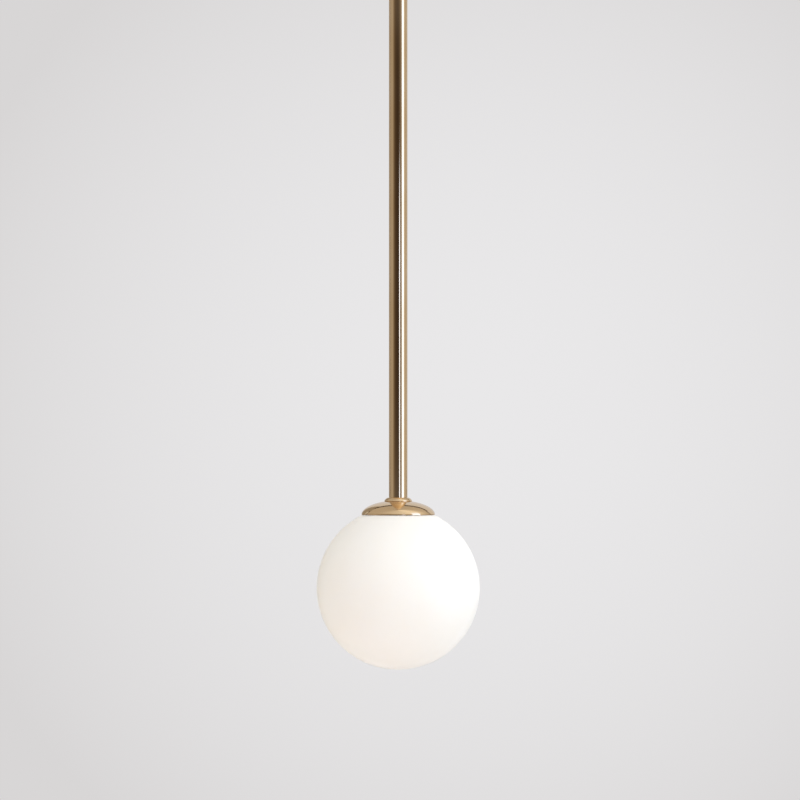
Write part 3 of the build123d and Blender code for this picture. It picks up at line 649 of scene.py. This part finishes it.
deselect_all()
bpy.ops.mesh.primitive_uv_sphere_add(segments=160, ring_count=96, radius=GLOBE_R * MM, location=(0, 0, GLOBE * MM))
globe = bpy.context.object
globe.name = "opal_globe"
settle(globe)
open_up(globe)
bpy.ops.mesh.bisect(plane_co=(0, 0, (RIM + SHOULDER) * MM), plane_no=(0, 0, 1), clear_outer=True, threshold=1e-8)
open_rim()
shoulder_r = math.sqrt(GLOBE_R**2 - (RIM + SHOULDER - GLOBE) ** 2)
fillet_r = NECK_R + FILLET
rim_step(shoulder_r, fillet_r, 0)
for angle in (30, 60, 90):
    start, end = math.radians(angle - 30), math.radians(angle)
    lift = FILLET * (math.cos(start) - math.cos(end))
    rim_step(fillet_r - FILLET * math.sin(start), fillet_r - FILLET * math.sin(end), lift)
rim_step(NECK_R, NECK_R, NECK_TOP - SHOULDER - FILLET)
tidy_shell()
modify(globe, "SOLIDIFY", thickness=GLASS * MM, offset=-1, use_even_offset=True)
ease(globe, 0.7, segments=4, angle=24)

outward = [(16.6, -0.72), (NECK_R, -0.55), (RIDGE_R, -0.3), (RIDGE_R, 0.3), (NECK_R, 0.55), (16.6, 0.72)]
fuse(globe, ridge("globe_ridge", outward, RIM + 3.7, 0.95, 0))
done(globe, "globe", "globe_glass")

# %% [markdown]
# ## The canopy
# A second spun dome hides the ceiling end. Its rim stands 5 mm off the ceiling and is turned straight for
# 2 mm, and its crown is a flat with a hole. The same outline-and-spin as the lower dome, with the rim's two
# corners rounded as the polisher leaves them.

# %% Canopy dome
CANOPY_R, CANOPY_RISE, CANOPY_WALL, CANOPY_FLAT_R, CANOPY_BASE = 50.0, 27.0, 1.2, 14.5, -7.0
CANOPY_RIM = span("canopy_shell")[1]
crown_turn = math.degrees(math.acos(CANOPY_FLAT_R / CANOPY_R))
crown_depth = CANOPY_RISE * math.sin(math.radians(crown_turn))
lining_turn = math.degrees(math.asin((crown_depth - CANOPY_WALL) / (CANOPY_RISE - CANOPY_WALL)))
outside = oval(CANOPY_R, -CANOPY_RISE, (0, CANOPY_BASE), 0, crown_turn, 64)
inside = oval(CANOPY_R - CANOPY_WALL, CANOPY_WALL - CANOPY_RISE, (0, CANOPY_BASE), 0, lining_turn, 56)
rim = [(CANOPY_R - CANOPY_WALL, CANOPY_RIM, 0.35), (CANOPY_R, CANOPY_RIM, 0.45)]
shell = [*rim, *outside, (10, CROWN), (10, CROWN + CANOPY_WALL), *inside[::-1]]
done(turn("canopy_dome", shell, steps=160), "canopy", "canopy_shell")

# %% [markdown]
# ## What holds the canopy
# A turned collar carries the canopy on the tube. Its spigot passes through the crown and a notched ring nut
# clamps it, a nylon liner keeps it from scratching the lacquer, and a grub screw at the back bites on the
# tube. The collar gets one fine turned line near its top, which is how such a plain ring is usually dressed.

# %% Collar, liner, ring nut and grub screw
LINER_LOW, SPIGOT_TOP, GRUB_Z = CROWN - 5.8, CROWN + 2.7, CROWN - 3.1
COLLAR_FOOT = span("canopy_collar")[0]
round_over = oval(2.6, -3.6, (9.4, CROWN - 3.4), 0, 90, 20)
collar = [(8.3, LINER_LOW, 0.2), (8.3, COLLAR_FOOT, 0.3), *round_over[::-1]]
collar += [(12, CROWN - 1.4), (11.75, CROWN - 1.2), (12, CROWN - 1.0), (12, CROWN, 0.15), (10, CROWN)]
collar += [(10, SPIGOT_TOP, 0.3), (8.9, SPIGOT_TOP, 0.2), (8.9, LINER_LOW)]
collar_ring = cut(turn("collar_ring", collar, steps=128), rod(2.0, 0, 13, "Y", (0, GRUB_Z)))
done(collar_ring, "canopy", "canopy_collar")

sleeve = [(8.06, LINER_LOW, 0.3), (8.9, LINER_LOW, 0.05), (8.9, SPIGOT_TOP, 0.05), (8.06, SPIGOT_TOP, 0.4)]
done(cut(turn("nylon_sleeve", sleeve), rod(2.0, 0, 12, "Y", (0, GRUB_Z))), "canopy", "canopy_liner")

NUT_LOW = CROWN + CANOPY_WALL
notches = ring_of(bar((12.5, 15.5), (-1.5, 1.5), (NUT_LOW - 1, SPIGOT_TOP + 1)), 4)
ring_nut = cut(turn("notched_ring_nut", band(10, 14, NUT_LOW, SPIGOT_TOP, 0.2, 0.25)), *notches)
done(ring_nut, "canopy", "canopy_ring_nut")

grub = cut(thread(2.0, 0.7, 8.1, 11.5), rod(1.15, 9.5, 12, sides=6))
grub.name = "grub_screw"
done(moved(grub, shift(z=GRUB_Z) @ ALONG_Y), "canopy", "canopy_grub_screw")

# %% [markdown]
# ## The ceiling plate
# The plate is a 2 mm disc blanked from zinc-plated steel, with two slots for the ceiling screws, a hole for
# the supply cable and countersinks for the rivets. Blanking leaves a rolled edge, which is the small bevel.

# %% Plate
SLOT_X, SLOT_HALF, SLOT_R = 31.0, 6.0, 2.5
disc = [(0, -2), (42, -2), (42, 0), (0, 0)]
plate = turn("ceiling_plate", disc, steps=128, closed=False)
slot_corners = [(SLOT_X + a * SLOT_HALF, b * SLOT_R, SLOT_R - 0.01) for a, b in ((-1, -1), (1, -1), (1, 1), (-1, 1))]
slot = pull("slot", slot_corners, "XY", -3, 1)
sink = turn("sink", [(0, 0.2), (2.9, 0.2), (1.5, -1.2), (1.5, -3), (0, -3)], steps=48, closed=False)
holes = [*ring_of(slot, 2), *copies(sink, [shift(-5), shift(5)])]
holes += [rod(r, -3, 1, "Z", at, 96) for r, at in ((9.0, (0, -24)), (2.0, (-22, -20)), (1.5, (0, 27)))]
done(ease(cut(plate, *holes), 0.2), "ceiling_mount", "mounting_plate")

# %% [markdown]
# ## The yoke and its rivets
# The yoke is 2 mm strip bent into a U, so its outline is drawn with the bend radii a press brake gives and
# pulled to the strip's width. Its ears are rounded by keeping only what lies inside a stadium seen from the
# side. Two rivets, flush above and domed below, hold it to the plate.

# %% Yoke and rivets
YOKE_IN, YOKE_OUT, YOKE_HALF, PIN_HOLE = 8.0, 10.0, 4.5, 1.55


def bent_strap(name, inner, outer, top, gauge, low, half, inner_bend, outer_bend):
    """Strip bent into a U that opens downwards, with rounded ears whose middle is `half` above `low`."""
    left = [(-outer, low), (-outer, top, outer_bend), (outer, top, outer_bend), (outer, low)]
    right = [(inner, low), (inner, top - gauge, inner_bend), (-inner, top - gauge, inner_bend), (-inner, low)]
    strap = pull(name, left + right, "XZ", -half, half)
    corner = half - 0.01
    side = [(-half, top + 1), (half, top + 1), (half, low, corner), (-half, low, corner)]
    return keep_within(strap, pull("side", side, "YZ", -outer - 1, outer + 1))


strap = bent_strap("bent_yoke", YOKE_IN, YOKE_OUT, -2, 2, PIVOT - YOKE_HALF, YOKE_HALF, 0.6, 2.4)
holes = [rod(PIN_HOLE, -11, 11, "X", (0, PIVOT)), rod(1.5, -5, -1, "Z", (-5, 0)), rod(1.5, -5, -1, "Z", (5, 0))]
done(ease(cut(strap, *holes), 0.15), "ceiling_mount", "gimbal_yoke")

shank = [(0, 0), (2.7, 0), (1.5, -1.2), (1.5, -4)]
rivet = turn("rivet", shank + oval(2.6, -1.2, (0, -4), 0, 90, 10), steps=48, closed=False)
done(gather("domed_rivets", copies(rivet, [shift(-5), shift(5)])), "ceiling_mount", "yoke_rivets")

# %% [markdown]
# ## The gimbal
# A short thick ring hangs in the yoke on two pins, and the forked head hangs in the ring on two more at right
# angles, so that the light always hangs plumb. The pins are one turned pin, copied round the ring.

# %% Gimbal ring and pins
gimbal_ring = turn("gimbal_collar", band(4.3, 7.5, -3, 3, 0.3, 0.5), PIVOT)
gimbal_ring = cut(gimbal_ring, rod(1.5, -8, 8, "X", (0, PIVOT)), rod(1.5, -8, 8, "Y", (0, PIVOT)))
done(gimbal_ring, "gimbal", "gimbal_ring")

pin = turn("pin", [(0, 4.7), (1.5, 4.7, 0.2), (1.5, 10.5, 0.35), (0, 10.5)], steps=48, closed=False)
pins = copies(pin, [shift(z=PIVOT) @ about_z(90 * step) @ ALONG_X for step in range(4)])
done(gather("hardened_pins", pins), "gimbal", "gimbal_pins")

# %% [markdown]
# ## The forked head
# It is turned from brass bar with a plug for the tube and a flange, then milled to two ears. So the body is
# spun, the ears are drawn with round tops and fused on, and the cable's bore goes right through.

# %% Forked head
PLUG_LOW, FLANGE_R, FLANGE_TOP, CABLE_BORE = STEM_TOP - 12, 11, -27.5, 3.6
body = [(CABLE_BORE, PLUG_LOW, 0.3), (TUBE_BORE, PLUG_LOW, 0.5), (TUBE_BORE, STEM_TOP), (FLANGE_R, STEM_TOP, 0.3)]
body += [(FLANGE_R, FLANGE_TOP, 0.5), (CABLE_BORE, FLANGE_TOP, 0.4)]
head = turn("forked_head", body)
ear = pull("ear", [(-4, -28), (4, -28), (4, PIVOT + 4, 3.99), (-4, PIVOT + 4, 3.99)], "XZ", 8, 10)
head = cut(fuse(head, *ring_of(ear, 2)), rod(PIN_HOLE, -11, 11, "Y", (0, PIVOT)))
done(ease(head, 0.12, angle=50), "stem", "stem_head")

# %% [markdown]
# ## The terminal block
# A two-pole strip is moulded in natural polyamide round two brass barrels. What makes it read as one is its
# hollows: a funnel at each wire entry, a well over each clamp screw and the saw-cut waist between the poles.

# %% Terminal block
BLOCK_Y, BLOCK_LOW, POLE_X, POLE_Z = 27.0, -15.0, 5.0, -9.0
near, far = BLOCK_Y - 8.5, BLOCK_Y + 8.5
front = [(-10, near, 1.5), (-0.6, near), (-0.6, near + 3), (0.6, near + 3), (0.6, near), (10, near, 1.5)]
rear = [(10, far, 1.5), (0.6, far), (0.6, far - 3), (-0.6, far - 3), (-0.6, far), (-10, far, 1.5)]
strip = pull("terminal_strip", front + rear, "XY", BLOCK_LOW, -2)
hollows = [rod(1.6, -16, -1, "Z", (0, BLOCK_Y)), rod(2.9, -16, -13.2, "Z", (0, BLOCK_Y))]
for side in (-POLE_X, POLE_X):
    hollows += [rod(3.3, near + 2, far - 2, "Y", (side, POLE_Z)), rod(1.9, near - 2, far + 2, "Y", (side, POLE_Z))]
    hollows += [rod(1.85, -16, POLE_Z, "Z", (side, BLOCK_Y + end)) for end in (-3.6, 3.6)]
funnel = turn("funnel", [(0, near - 0.1), (2.9, near - 0.1), (1.8, near + 1), (0, near + 1)], steps=48, closed=False)
back_funnel = turn("funnel", [(0, far - 1), (1.8, far - 1), (2.9, far + 0.1), (0, far + 0.1)], steps=48, closed=False)
for cone in (funnel, back_funnel):
    hollows += copies(cone, [shift(side, 0, POLE_Z) @ ALONG_Y for side in (-POLE_X, POLE_X)])
done(ease(cut(strip, *hollows), 0.2, angle=60), "ceiling_mount", "terminal_block")

# %% Barrels and screws of the terminal block
tube = band(1.9, 3.3, near + 2, far - 2, 0.3, 0.3)
barrel = moved(turn("barrel", tube, steps=64), shift(z=POLE_Z) @ ALONG_Y)
barrel = cut(barrel, *[rod(1.25, POLE_Z - 4, POLE_Z, "Z", (0, BLOCK_Y + end)) for end in (-3.6, 3.6)])
barrels = copies(barrel, [shift(-POLE_X), shift(POLE_X)])
done(gather("brass_barrels", barrels), "ceiling_mount", "terminal_barrels")

clamp_screws = []
for end, low, tip in ((-3.6, -14.4, -10.02), (3.6, -14.7, -10.9)):
    clamp = cut(thread(1.25, 0.45, low, tip, steps=24), bar((-0.25, 0.25), (-2, 2), (low - 1, low + 0.6)))
    clamp_screws += copies(clamp, [shift(side, BLOCK_Y + end) @ about_z(20 * side) for side in (-POLE_X, POLE_X)])
done(gather("clamp_screws", clamp_screws), "ceiling_mount", "terminal_screws")

fixing = screw_up(1.5, 0.5, tip=-0.4, head_r=2.7, seat=-13.2, head=1.7, recess=(0.7, 6, 0.8))
fixing.name = "strip_fixing_screw"
done(moved(fixing, shift(0, BLOCK_Y) @ about_z(35)), "ceiling_mount", "terminal_fixing_screw")

# %% [markdown]
# ## The earth point
# The supply earth and the light's own earth share one M4 screw. Its washer bites through the plating with
# twelve square teeth, and the lug is a flattened ring with a sleeve crimped on the core in two places.

# %% Earth screw, washer and lug
EARTH_X, EARTH_Y = -22.0, -20.0
at_earth = shift(EARTH_X, EARTH_Y)
head = {"head_r": 3.5, "seat": -3.6, "head": 2.4, "recess": (0.9, 4.4, 1.2), "cross": True, "round_off": 1.0}
earth = screw_up(2.0, 0.7, tip=-0.3, **head)
earth.name = "earth_clamp_screw"
done(moved(earth, at_earth @ about_z(15)), "ceiling_mount", "earth_screw")


def toothed(name, outer, bore, low, high, teeth):
    """A lock washer with square notches round its edge."""
    washer = turn(name, band(bore, outer, low, high, 0.1, 0.1))
    return cut(washer, *ring_of(bar((outer - 0.7, outer + 0.7), (-0.45, 0.45), (low - 1, high + 1)), teeth))


done(moved(toothed("toothed_washer", 4.2, 2.1, -2.8, -2.0, 12), at_earth), "ceiling_mount", "earth_washer")

eye = turn("crimped_lug", band(2.1, 3.8, -3.6, -2.8, 0.1, 0.2))
sleeve = turn("sleeve", band(1.0, 1.7, 3.6, 10, 0.2, 0.2), steps=48)
sleeve = moved(sleeve, shift(z=-4.5) @ ALONG_X)
dents = [bar((low, low + 0.8), (-0.9, 0.9), (-7, -5.85)) for low in (5.6, 7.8)]
lug = fuse(eye, bar((3.2, 4.6), (-1.6, 1.6), (-3.6, -2.8)), cut(sleeve, *dents))
towards_middle = about_z(math.degrees(math.atan2(-EARTH_Y, -EARTH_X)))
done(moved(lug, at_earth @ towards_middle), "ceiling_mount", "earth_lug")

# %% [markdown]
# ## The cores in the gimbal
# Three soft cores leave the sheath inside the gimbal and run over to their clamps, so they bend when the light
# swings. Each measured core is split where the gimbal is: an upper half runs between ceiling and gimbal, a lower
# half between gimbal and stem, and they meet.

# %% Core leads
CORE_STILL, CORE_SPLIT = -10.2, -12.5
CORE_LOW = span("head_core_live")[0]
HALVES = {
    "upper": ("ceiling_mount", "gimbal", CORE_STILL, CORE_SPLIT),
    "lower": ("gimbal", "stem", CORE_SPLIT, CORE_LOW),
}
for core in ("live", "neutral", "earth"):
    measured = frame["nodes"]["head_core_" + core]
    for half, (above, below, start, end) in HALVES.items():
        lead = bpy.data.objects.new(f"{core}_lead_{half}", measured.data.copy())
        bpy.context.collection.objects.link(lead)
        open_up(lead)
        bpy.ops.mesh.remove_doubles(threshold=MERGE)
        take_all()
        split = {"plane_co": (0, 0, CORE_SPLIT * MM), "plane_no": (0, 0, 1), "use_fill": True}
        bpy.ops.mesh.bisect(**split, clear_inner=half == "upper", clear_outer=half == "lower")
        bend = (above, below, (0, 0, start * MM), (0, 0, end * MM))
        done(settle(lead, smooth=50), bend, "head_core_" + core)

# %% [markdown]
# ## Inside the lower end
# A threaded nipple joins the tube, dome, cup and lampholder on one axis. All of these are turned or pressed,
# so each is an outline spun round the stem, and only the thread, the strap and the hexagon need more.

# %% Nipple, bush, spacer, nut and washer
nipple = thread(NIPPLE_R, 1.0, RIM + 1.2, STEM_LOW + 12)
nipple.name = "hollow_nipple"
nipple = cut(nipple, rod(CABLE_BORE, RIM, STEM_LOW + 13))
done(nipple, "stem", "threaded_nipple")

bush = [(NIPPLE_R, 0, 0.4), (TUBE_BORE, 0, 0.3), (TUBE_BORE, 14, 0.4), (NIPPLE_R, 14, 0.4)]
done(turn("brazed_bush", bush, STEM_LOW), "stem", "stem_foot_bush")

spacer = band(NIPPLE_R, 9.0, *span("cap_spacer"), 0.2, 0.3)
done(turn("turned_spacer", spacer), "stem", "cap_spacer")

NUT_FLATS = 14.0
nut_low, nut_high = span("lock_nut")
corner = NUT_FLATS / 2 / math.cos(math.radians(30))
hexagon = moved(rod(corner, nut_low, nut_high, sides=6, name="hexagon_nut"), about_z(30))
cone = [(0, nut_low), (corner - 0.7, nut_low), (corner, nut_low + 0.4), (corner, nut_high - 0.4)]
chamfers = turn("chamfers", [*cone, (corner - 0.7, nut_high), (0, nut_high)], closed=False)
nut = cut(keep_within(hexagon, chamfers), rod(NIPPLE_R, nut_low - 1, nut_high + 1))
done(nut, "stem", "lock_nut")
done(toothed("nut_lock_washer", 8.6, NIPPLE_R, *span("lock_washer"), 16), "stem", "lock_washer")

# %% [markdown]
# ## The cup that takes the globe
# The cup is pressed from steel: a disc, a wall and a flange that presses the seal on the glass. Its ridge is
# the mate of the one on the neck, so it is the same sweep with its crest turned inwards.

# %% Cup and seal
cup = [(NIPPLE_R, 8.4), (19.6, 8.4, 1.0), (19.6, 4.0, 0.5), (25, 4.0, 0.4), (25, 2.9, 0.4)]
cup += [(18.3, 2.9, 0.3), (18.3, 7.2, 0.3), (NIPPLE_R, 7.2)]
fitter = turn("pressed_cup", cup, RIM, steps=128)
inward = [(18.55, -0.62), (18.3, -0.55), (17.35, -0.3), (17.35, 0.3), (18.3, 0.55), (18.55, 0.62)]
fuse(fitter, ridge("cup_ridge", inward, RIM + 3.58, 1.0, 162))
done(fitter, "stem", "fitter_cup")

seal_low, seal_high = span("seal_ring")
lip = [(18.7, seal_low, 0.3), (25, seal_low, 0.45), (25, seal_high, 0.45), (22.4, seal_high), (22, seal_high - 0.25)]
lip += [(21.6, seal_high), (18.7, seal_high, 0.3)]
done(turn("silicone_seal", lip), "globe_seal", "seal_ring")

# %% [markdown]
# ## The lampholder
# A bent strap hangs the steatite body under the nipple, held by a screw on each side. Steatite is pressed dry
# and fired, so its edges stay blunt, and each pin has a deep slot with a bronze spring in it.

# %% Strap, body and screws
HOLDER_Z = RIM - 15.5
strap = bent_strap("holder_strap", 9.4, 10.4, RIM + 7.2, 1.0, HOLDER_Z - 5, 5.0, 0.5, 1.5)
fuse(strap, turn("eye", [(4, 6.2), (8.6, 6.2, 0.15), (8.6, 7.2, 0.15), (4, 7.2)], RIM))
holes = [rod(NIPPLE_R, RIM + 5, RIM + 9)]
holes += [rod(1.25, -12, end, "X", place) for end, place in ((12, (0, HOLDER_Z)), (0, (2.2, RIM - 5)))]
done(cut(strap, *holes), "stem", "holder_bracket")

block = turn("steatite_body", [(0, -29), (9.8, -29, 0.9), (9.8, -10, 0.9), (0, -10)], RIM, closed=False)
hollows = []
for side in (-1, 1):
    x = 4.5 * side
    hollows.append(bar((x - 1.7, x + 1.7), (-2.4, 2.4), (RIM - 30, RIM - 13.4)))
    hollows.append(bar(sorted((9.4 * side, 20 * side)), (-10, 10), (RIM - 21, RIM - 9)))
    hollows.append(rod(1.05, RIM - 14.4, RIM - 9, "Z", (x, 1.2), 32))
    hollows.append(rod(1.25, *sorted((6.6 * side, 20 * side)), "X", (0, HOLDER_Z), 48))
done(ease(cut(block, *hollows), 0.25, angle=60), "stem", "lampholder_body")

head = {"head_r": 2.4, "seat": -10.4, "head": 1.6, "recess": (0.6, 6, 0.8), "round_off": 0.6}
side_screw = screw_up(1.25, 0.45, tip=-6.8, **head)
across = [shift(z=HOLDER_Z) @ about_z(turned) @ ALONG_X @ about_z(slant) for turned, slant in ((0, 25), (180, 70))]
done(gather("strap_screws", copies(side_screw, across)), "stem", "lampholder_screws")

# %% [markdown]
# ## The lamp
# A glass capsule with a round end is glued in a ceramic foot. Inside, four LED sticks stand round a glass
# post between two spiders. The capsule's wall is one open outline from pole to pole, so both skins close.

# %% Capsule, sticks and post
BALL = RIM - 63.6
outer = oval(8.4, -8.4, (0, BALL), 90, 0, 24)
inner = oval(7.6, -7.6, (0, BALL), 0, 90, 24)
step_up = [(8.4, RIM - 40, 0.2), (7.6, RIM - 40), (7.6, RIM - 38.2)]
step_in = [(6.9, RIM - 38.2), (6.9, RIM - 40.6), (7.6, RIM - 40.6)]
done(turn("glass_capsule", [*outer, *step_up, *step_in, *inner], closed=False), "lamp", "lamp_envelope")

stick = turn("stick", [(0, -65), (0.9, -65, 0.35), (0.9, -41.5, 0.35), (0, -41.5)], RIM, steps=32, closed=False)
sticks = copies(stick, [about_z(45 + 90 * step) @ shift(4.2) for step in range(4)])
done(gather("led_sticks", sticks), "lamp", "lamp_filaments")

post = [(0, -65.8), (5.4, -65.8, 0.2), (5.4, -65, 0.2), (1.4, -65, 0.5), (1.4, -41.5, 0.5), (5.4, -41.5, 0.2)]
post += [(5.4, -40.7, 0.2), (1.4, -40.7, 0.4), (1.4, -38, 0.4), (0, -38)]
done(turn("spider_post", post, RIM, steps=64, closed=False), "lamp", "lamp_post")

# %% [markdown]
# ## The studio
# Polished brass shows the room, so the room is drawn first: a grey level for each bearing round the light,
# on a colour ramp. A dark doorway left of the camera gives the brown line down the tube. One tall window on the
# right and a narrower, lower one beside the camera give the two white lines next to it. Camera rays see the
# same pale grey everywhere instead.


# %% World
PALE = "#E6E5E6"
ROOM = [
    (-180, "#AAA298"), (-88, "#ACA49A"), (-83, "#C6BEB2"), (-76, "#AAA298"), (-60, "#94897B"), (-52, "#706353"),
    (-34, "#4E4135"), (-5, "#3F342B"), (8, "#4A4037"), (24, "#6E655B"), (34, "#948B82"), (44, "#ACA59B"),
    (80, "#D6D0C8"), (118, "#B4ADA3"), (180, "#AAA298"),
]  # fmt: skip
UPPER_ROOM = [
    (-180, "#BDB4A8"), (-75, "#C2BAB0"), (-26, "#D8D1C8"), (0, "#E2DCD3"), (41, "#FFFBF2"), (70, "#FFFBF2"),
    (109, "#CCC4BA"), (180, "#BDB4A8"),
]  # fmt: skip
world = bpy.data.worlds.new("studio")
bpy.context.scene.world = world
world.use_nodes = True
world.node_tree.nodes.clear()
aim = put(world, "SeparateXYZ", {"Vector": put(world, "TexCoord").outputs["Generated"]})
ahead = put(world, "Math", {0: aim.outputs["Y"], 1: -1.0}, operation="MULTIPLY").outputs["Value"]
bearing = put(world, "Math", {0: aim.outputs["X"], 1: ahead}, operation="ARCTAN2").outputs["Value"]
around = put(world, "MapRange", {"Value": bearing, "From Min": -math.pi, "From Max": math.pi})
low, high = [
    put(world, "ValToRGB", {"Fac": around.outputs["Result"]}, [((turned + 180) / 360, code) for turned, code in levels])
    for levels in (ROOM, UPPER_ROOM)
]
over = put(world, "MapRange", {"Value": aim.outputs["Z"], "From Min": 0.08, "From Max": 0.5})
under = put(world, "MapRange", {"Value": aim.outputs["Z"], "From Min": -0.1, "From Max": -0.5})
MIX = {"data_type": "RGBA"}
rooms = {6: low.outputs["Color"], 7: high.outputs["Color"]}
roofed = put(world, "Mix", {0: over.outputs["Result"], **rooms}, **MIX).outputs[2]
floored = put(world, "Mix", {0: under.outputs["Result"], 6: roofed, 7: srgb("#CCC8C3")}, **MIX).outputs[2]
seen = put(world, "LightPath").outputs["Is Camera Ray"]
shown = put(world, "Mix", {0: seen, 6: floored, 7: srgb(PALE)}, **MIX).outputs[2]
light = put(world, "Background", {"Color": shown, "Strength": 1.0})
put(world, "OutputWorld", {"Surface": light.outputs["Background"]})
print("room drawn with", len(ROOM) + len(UPPER_ROOM), "grey levels")

# %% [markdown]
# ## Wall and floor
# The wall behind is paper lit from the front right, so it falls off a little towards the far corners. That falloff is
# painted light: the wall is a glowing plane with a bright spot low and right of its middle and darker corners painted
# in its glow, which keeps its tone steady whatever the lamps do. A dark surround shows round it in the dome as one thin
# brown line. The floor is plain matt paint, and is hidden from glossy rays.


# %% Wall and floor
def from_bearing(degrees, distance, height):
    """A place seen from the stem, at a bearing in degrees right of the camera."""
    turned = math.radians(degrees)
    return Vector((distance * math.sin(turned), -distance * math.cos(turned), height))


def stand(name, size, location, rotation, material):
    deselect_all()
    bpy.ops.mesh.primitive_plane_add(size=1, location=location, rotation=rotation)
    panel = bpy.context.object
    panel.name, panel.scale = name, (*size, 1)
    panel.data.materials.append(material)
    return panel


WALL_SIZE, WALL_Y, WALL_Z = (28, 9.6), 9.0, 3.1
SURROUND = 2.3
BRIGHT_X, BRIGHT_Z, FALL_RADIUS = 0.17, -0.545, 1.19
wall_painted_light = bpy.data.materials.new("wall_painted_falloff_glow")
wall_painted_light.use_nodes = True
wall_painted_light.node_tree.nodes.clear()
reach = put(wall_painted_light, "TexCoord").outputs["Object"]
centred = {"Vector": reach, "Location": (-BRIGHT_X / WALL_SIZE[0], (WALL_Z - BRIGHT_Z) / WALL_SIZE[1], 0)}
at_bright = put(wall_painted_light, "Mapping", centred).outputs["Vector"]
wide = put(wall_painted_light, "Mapping", {"Vector": at_bright, "Scale": [w / FALL_RADIUS for w in (*WALL_SIZE, 1)]})
far = put(wall_painted_light, "VectorMath", {0: wide.outputs["Vector"]}, operation="LENGTH").outputs["Value"]
fall = put(wall_painted_light, "Math", {0: far, 1: 2.0}, operation="POWER").outputs["Value"]
# Painted light: the glow falls off from a bright spot towards the wall's corners.
tone = put(wall_painted_light, "ValToRGB", {"Fac": fall}, [(0.0, "#E9E8E9"), (1.0, "#D8D6D6")])
glow = put(wall_painted_light, "Emission", {"Color": tone.outputs["Color"], "Strength": 1.0})
put(wall_painted_light, "OutputMaterial", {"Surface": glow.outputs["Emission"]})
upright = (math.radians(90), 0, 0)
stand("back_wall", WALL_SIZE, (0, WALL_Y, WALL_Z), upright, wall_painted_light)

dark_paint = surface("dark_surround_paint", Base_Color=srgb("#4E4135"), Roughness=0.8)
around_wall = [side + 2 * SURROUND for side in WALL_SIZE]
surround = stand("wall_surround", around_wall, (0, WALL_Y + 0.1, WALL_Z), upright, dark_paint)
surround.visible_camera = surround.visible_diffuse = False

floor_paint = surface("floor_paint", Base_Color=srgb("#E4E2E0"), Roughness=0.7)
floor = stand("floor", (22, 22), (0, -2, -1.7), (0, 0, 0), floor_paint)
floor.visible_glossy = False

# %% [markdown]
# ## Windows for the brass
# Two tall windows are seen in the brass and light nothing else. A window is a glowing sheet that fades out
# towards its top, as a blind does, so the dome shows a soft glow and not a hard white box. Daylight is
# bluish, and brass takes the blue back out, which is why the lines on the tube look nearly white. A plain
# grey screen behind on the left keeps the tube's left edge from mirroring the bright wall.


# %% Windows
WINDOW_LIGHT = "#C2D6FF"


def window(name, size, bearing, distance, height, radiance, top_tone, fade, tint=WINDOW_LIGHT):
    """A glowing sheet that faces the stem from a bearing, for glossy rays only."""
    sheet = bpy.data.materials.new(name + "_glow")
    sheet.use_nodes = True
    sheet.node_tree.nodes.clear()
    place = put(sheet, "SeparateXYZ", {"Vector": put(sheet, "TexCoord").outputs["Object"]})
    down = put(sheet, "MapRange", {"Value": place.outputs["Y"], "From Min": 0.5, "From Max": 0.5 - fade})
    full = [radiance * part for part in srgb(tint)[:3]] + [1.0]
    tone = put(sheet, "Mix", {0: down.outputs["Result"], 6: srgb(top_tone), 7: full}, data_type="RGBA")
    glow = put(sheet, "Emission", {"Color": tone.outputs[2], "Strength": 1.0})
    put(sheet, "OutputMaterial", {"Surface": glow.outputs["Emission"]})
    location = from_bearing(bearing, distance, height)
    facing = Vector((-location.x, -location.y, 0)).to_track_quat("Z", "Y").to_euler()
    panel = stand(name, size, location, facing, sheet)
    panel.visible_camera = panel.visible_diffuse = False


window("side_window", (1.28, 3.6), 60, 2.5, 0.25, 2.6, "#FFFBF2", fade=0.55)
window("front_window", (0.50, 1.3), 17, 3.0, -0.85, 2.8, "#5A5048", fade=0.15)
window("left_screen", (1.9, 5.7), -146, 3.2, -0.6, 1.0, "#9E9587", fade=0.1, tint="#9E9587")

# %% [markdown]
# ## Soft fills
# The fills light everything matt, and are hidden from glossy rays. So the globe is lit evenly from all round,
# a little brighter from the right and warmer from below left, without a line in the brass.


# %% Lamps
def fill(name, size, bearing, distance, height, radiance, colour):
    """A large soft lamp aimed at the globe, hidden from glossy rays."""
    lamp = bpy.data.lights.new(name, "AREA")
    lamp.shape, lamp.size, lamp.size_y = "RECTANGLE", *size
    lamp.energy, lamp.color = radiance * math.pi * size[0] * size[1], srgb(colour)[:3]
    holder = bpy.data.objects.new(name, lamp)
    holder.location = from_bearing(bearing, distance, height)
    holder.rotation_euler = (Vector((0, 0, GLOBE * MM)) - holder.location).to_track_quat("-Z", "Y").to_euler()
    holder.visible_camera = holder.visible_glossy = False
    bpy.context.collection.objects.link(holder)


fill("right_fill", (1.4, 2.4), 62, 2.5, -0.4, 1.7, "#EBF7FF")
fill("right_back_fill", (1.4, 2.4), 118, 2.5, -0.4, 2.45, "#F0F7FF")
fill("front_fill", (2.5, 2.0), -8, 3.5, 0.2, 1.04, "#F8FDFF")
fill("front_low_fill", (2.0, 1.2), 0, 3.0, -1.6, 0.35, "#C8E6FF")
fill("left_back_fill", (1.4, 2.4), -125, 2.5, -0.6, 1.7, "#FAFCEE")
fill("top_fill", (2.0, 2.0), 10, 1.2, 1.2, 1.7, "#FCFCFF")
fill("floor_fill", (1.6, 1.6), -30, 0.5, -1.69, 1.15, "#FFE9DE")

# %% [markdown]
# ## The view transform
# The view transform is the plain one, so a colour chosen as hex comes out as that hex.

# %% Finish
bpy.context.scene.view_settings.view_transform = "Standard"
deselect_all()
